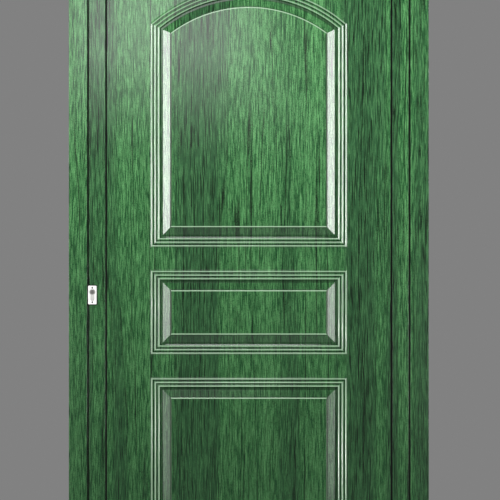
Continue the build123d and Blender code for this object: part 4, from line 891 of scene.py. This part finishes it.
def pale_floor(stage):
    """A pale round floor that fades out towards its rim."""
    bm = bmesh.new()
    bmesh.ops.create_circle(bm, cap_ends=True, segments=FLOOR_SEGMENTS, radius=stage.floor_radius)
    mesh = bpy.data.meshes.new("floor")
    bm.to_mesh(mesh)
    bm.free()
    floor = bpy.data.objects.new("floor", mesh)
    bpy.context.scene.collection.objects.link(floor)
    bench = Bench("floor_paint")
    coords = bench.add("ShaderNodeTexCoord").outputs["Object"]
    reach = bench.add("ShaderNodeVectorMath", {"operation": "LENGTH"}, Vector=coords).outputs["Value"]
    bench.surface(Base_Color=(*stage.floor, 1), Roughness=FLOOR_ROUGHNESS,
                  Alpha=bench.span(reach, stage.floor_radius / 2, stage.floor_radius, 1.0, 0.0))
    mesh.materials.append(bench.material)


def studio_world(stage):
    """Grey surroundings, which give the door a little less light than they show."""
    world = bpy.data.worlds.new("studio")
    world.use_nodes = True
    nodes, links = world.node_tree.nodes, world.node_tree.links
    blend = nodes.new("ShaderNodeMix")
    blend.data_type = "RGBA"
    blend.inputs[MIX_FIRST].default_value = (*stage.backdrop, 1)
    blend.inputs[MIX_SECOND].default_value = (*stage.sky, 1)
    links.new(nodes.new("ShaderNodeLightPath").outputs["Is Diffuse Ray"], blend.inputs[MIX_FACTOR])
    links.new(blend.outputs[MIX_RESULT], nodes["Background"].inputs["Color"])
    return world


def front_camera(stage):
    """A camera straight in front of the door."""
    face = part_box("frame_head")[0].y
    lens = bpy.data.cameras.new("camera")
    lens.type = "PERSP"
    lens.lens = lens.sensor_width * stage.view_distance / stage.view_width
    camera = bpy.data.objects.new("camera", lens)
    camera.location = (stage.view_side, face - stage.view_distance, stage.view_height)
    camera.rotation_euler = (math.pi / 2, 0, 0)
    bpy.context.scene.collection.objects.link(camera)
    return camera


class DOOR_OT_stage(Operator):
    """Sets the floor, the light and the camera"""
    bl_idname = "door.stage"
    bl_label = "Stage"

    def execute(self, context):
        scene = context.scene
        stage = scene.door_look.stage
        pale_floor(stage)
        scene.world = studio_world(stage)
        studio_lamps()
        scene.camera = front_camera(stage)
        scene.view_settings.view_transform = "Standard"
        return {"FINISHED"}


OPERATORS = (DOOR_OT_panel_skins, DOOR_OT_frame_profiles, DOOR_OT_sash_profiles, DOOR_OT_glazing_beads,
             DOOR_OT_seals, DOOR_OT_threshold, DOOR_OT_hinges, DOOR_OT_lock, DOOR_OT_keyhole,
             DOOR_OT_handle, DOOR_OT_inner_parts, DOOR_OT_stage)


class DOOR_PT_look(Panel):
    """The pieces of the door, in the order that they are made"""
    bl_idname = "DOOR_PT_look"
    bl_label = "Panelled door"
    bl_space_type = "VIEW_3D"
    bl_region_type = "UI"
    bl_category = "Door"

    def draw(self, context):
        look = context.scene.door_look
        for operator in OPERATORS:
            self.layout.operator(operator.bl_idname)
        for group in (look.moulding, look.film, look.hardware, look.stage):
            box = self.layout.box()
            for name in group.__annotations__:
                box.prop(group, name)


CLASSES = (DoorMoulding, DoorFilm, DoorHardware, DoorStage, DoorLook, *OPERATORS, DOOR_PT_look)


def register():
    for cls in CLASSES:
        bpy.utils.register_class(cls)
    bpy.types.Scene.door_look = PointerProperty(type=DoorLook)


def unregister():
    del bpy.types.Scene.door_look
    for cls in reversed(CLASSES):
        bpy.utils.unregister_class(cls)


def main():
    register()
    for operator in OPERATORS:
        group, name = operator.bl_idname.split(".")
        getattr(getattr(bpy.ops, group), name)()


if __name__ == "__main__":
    main()
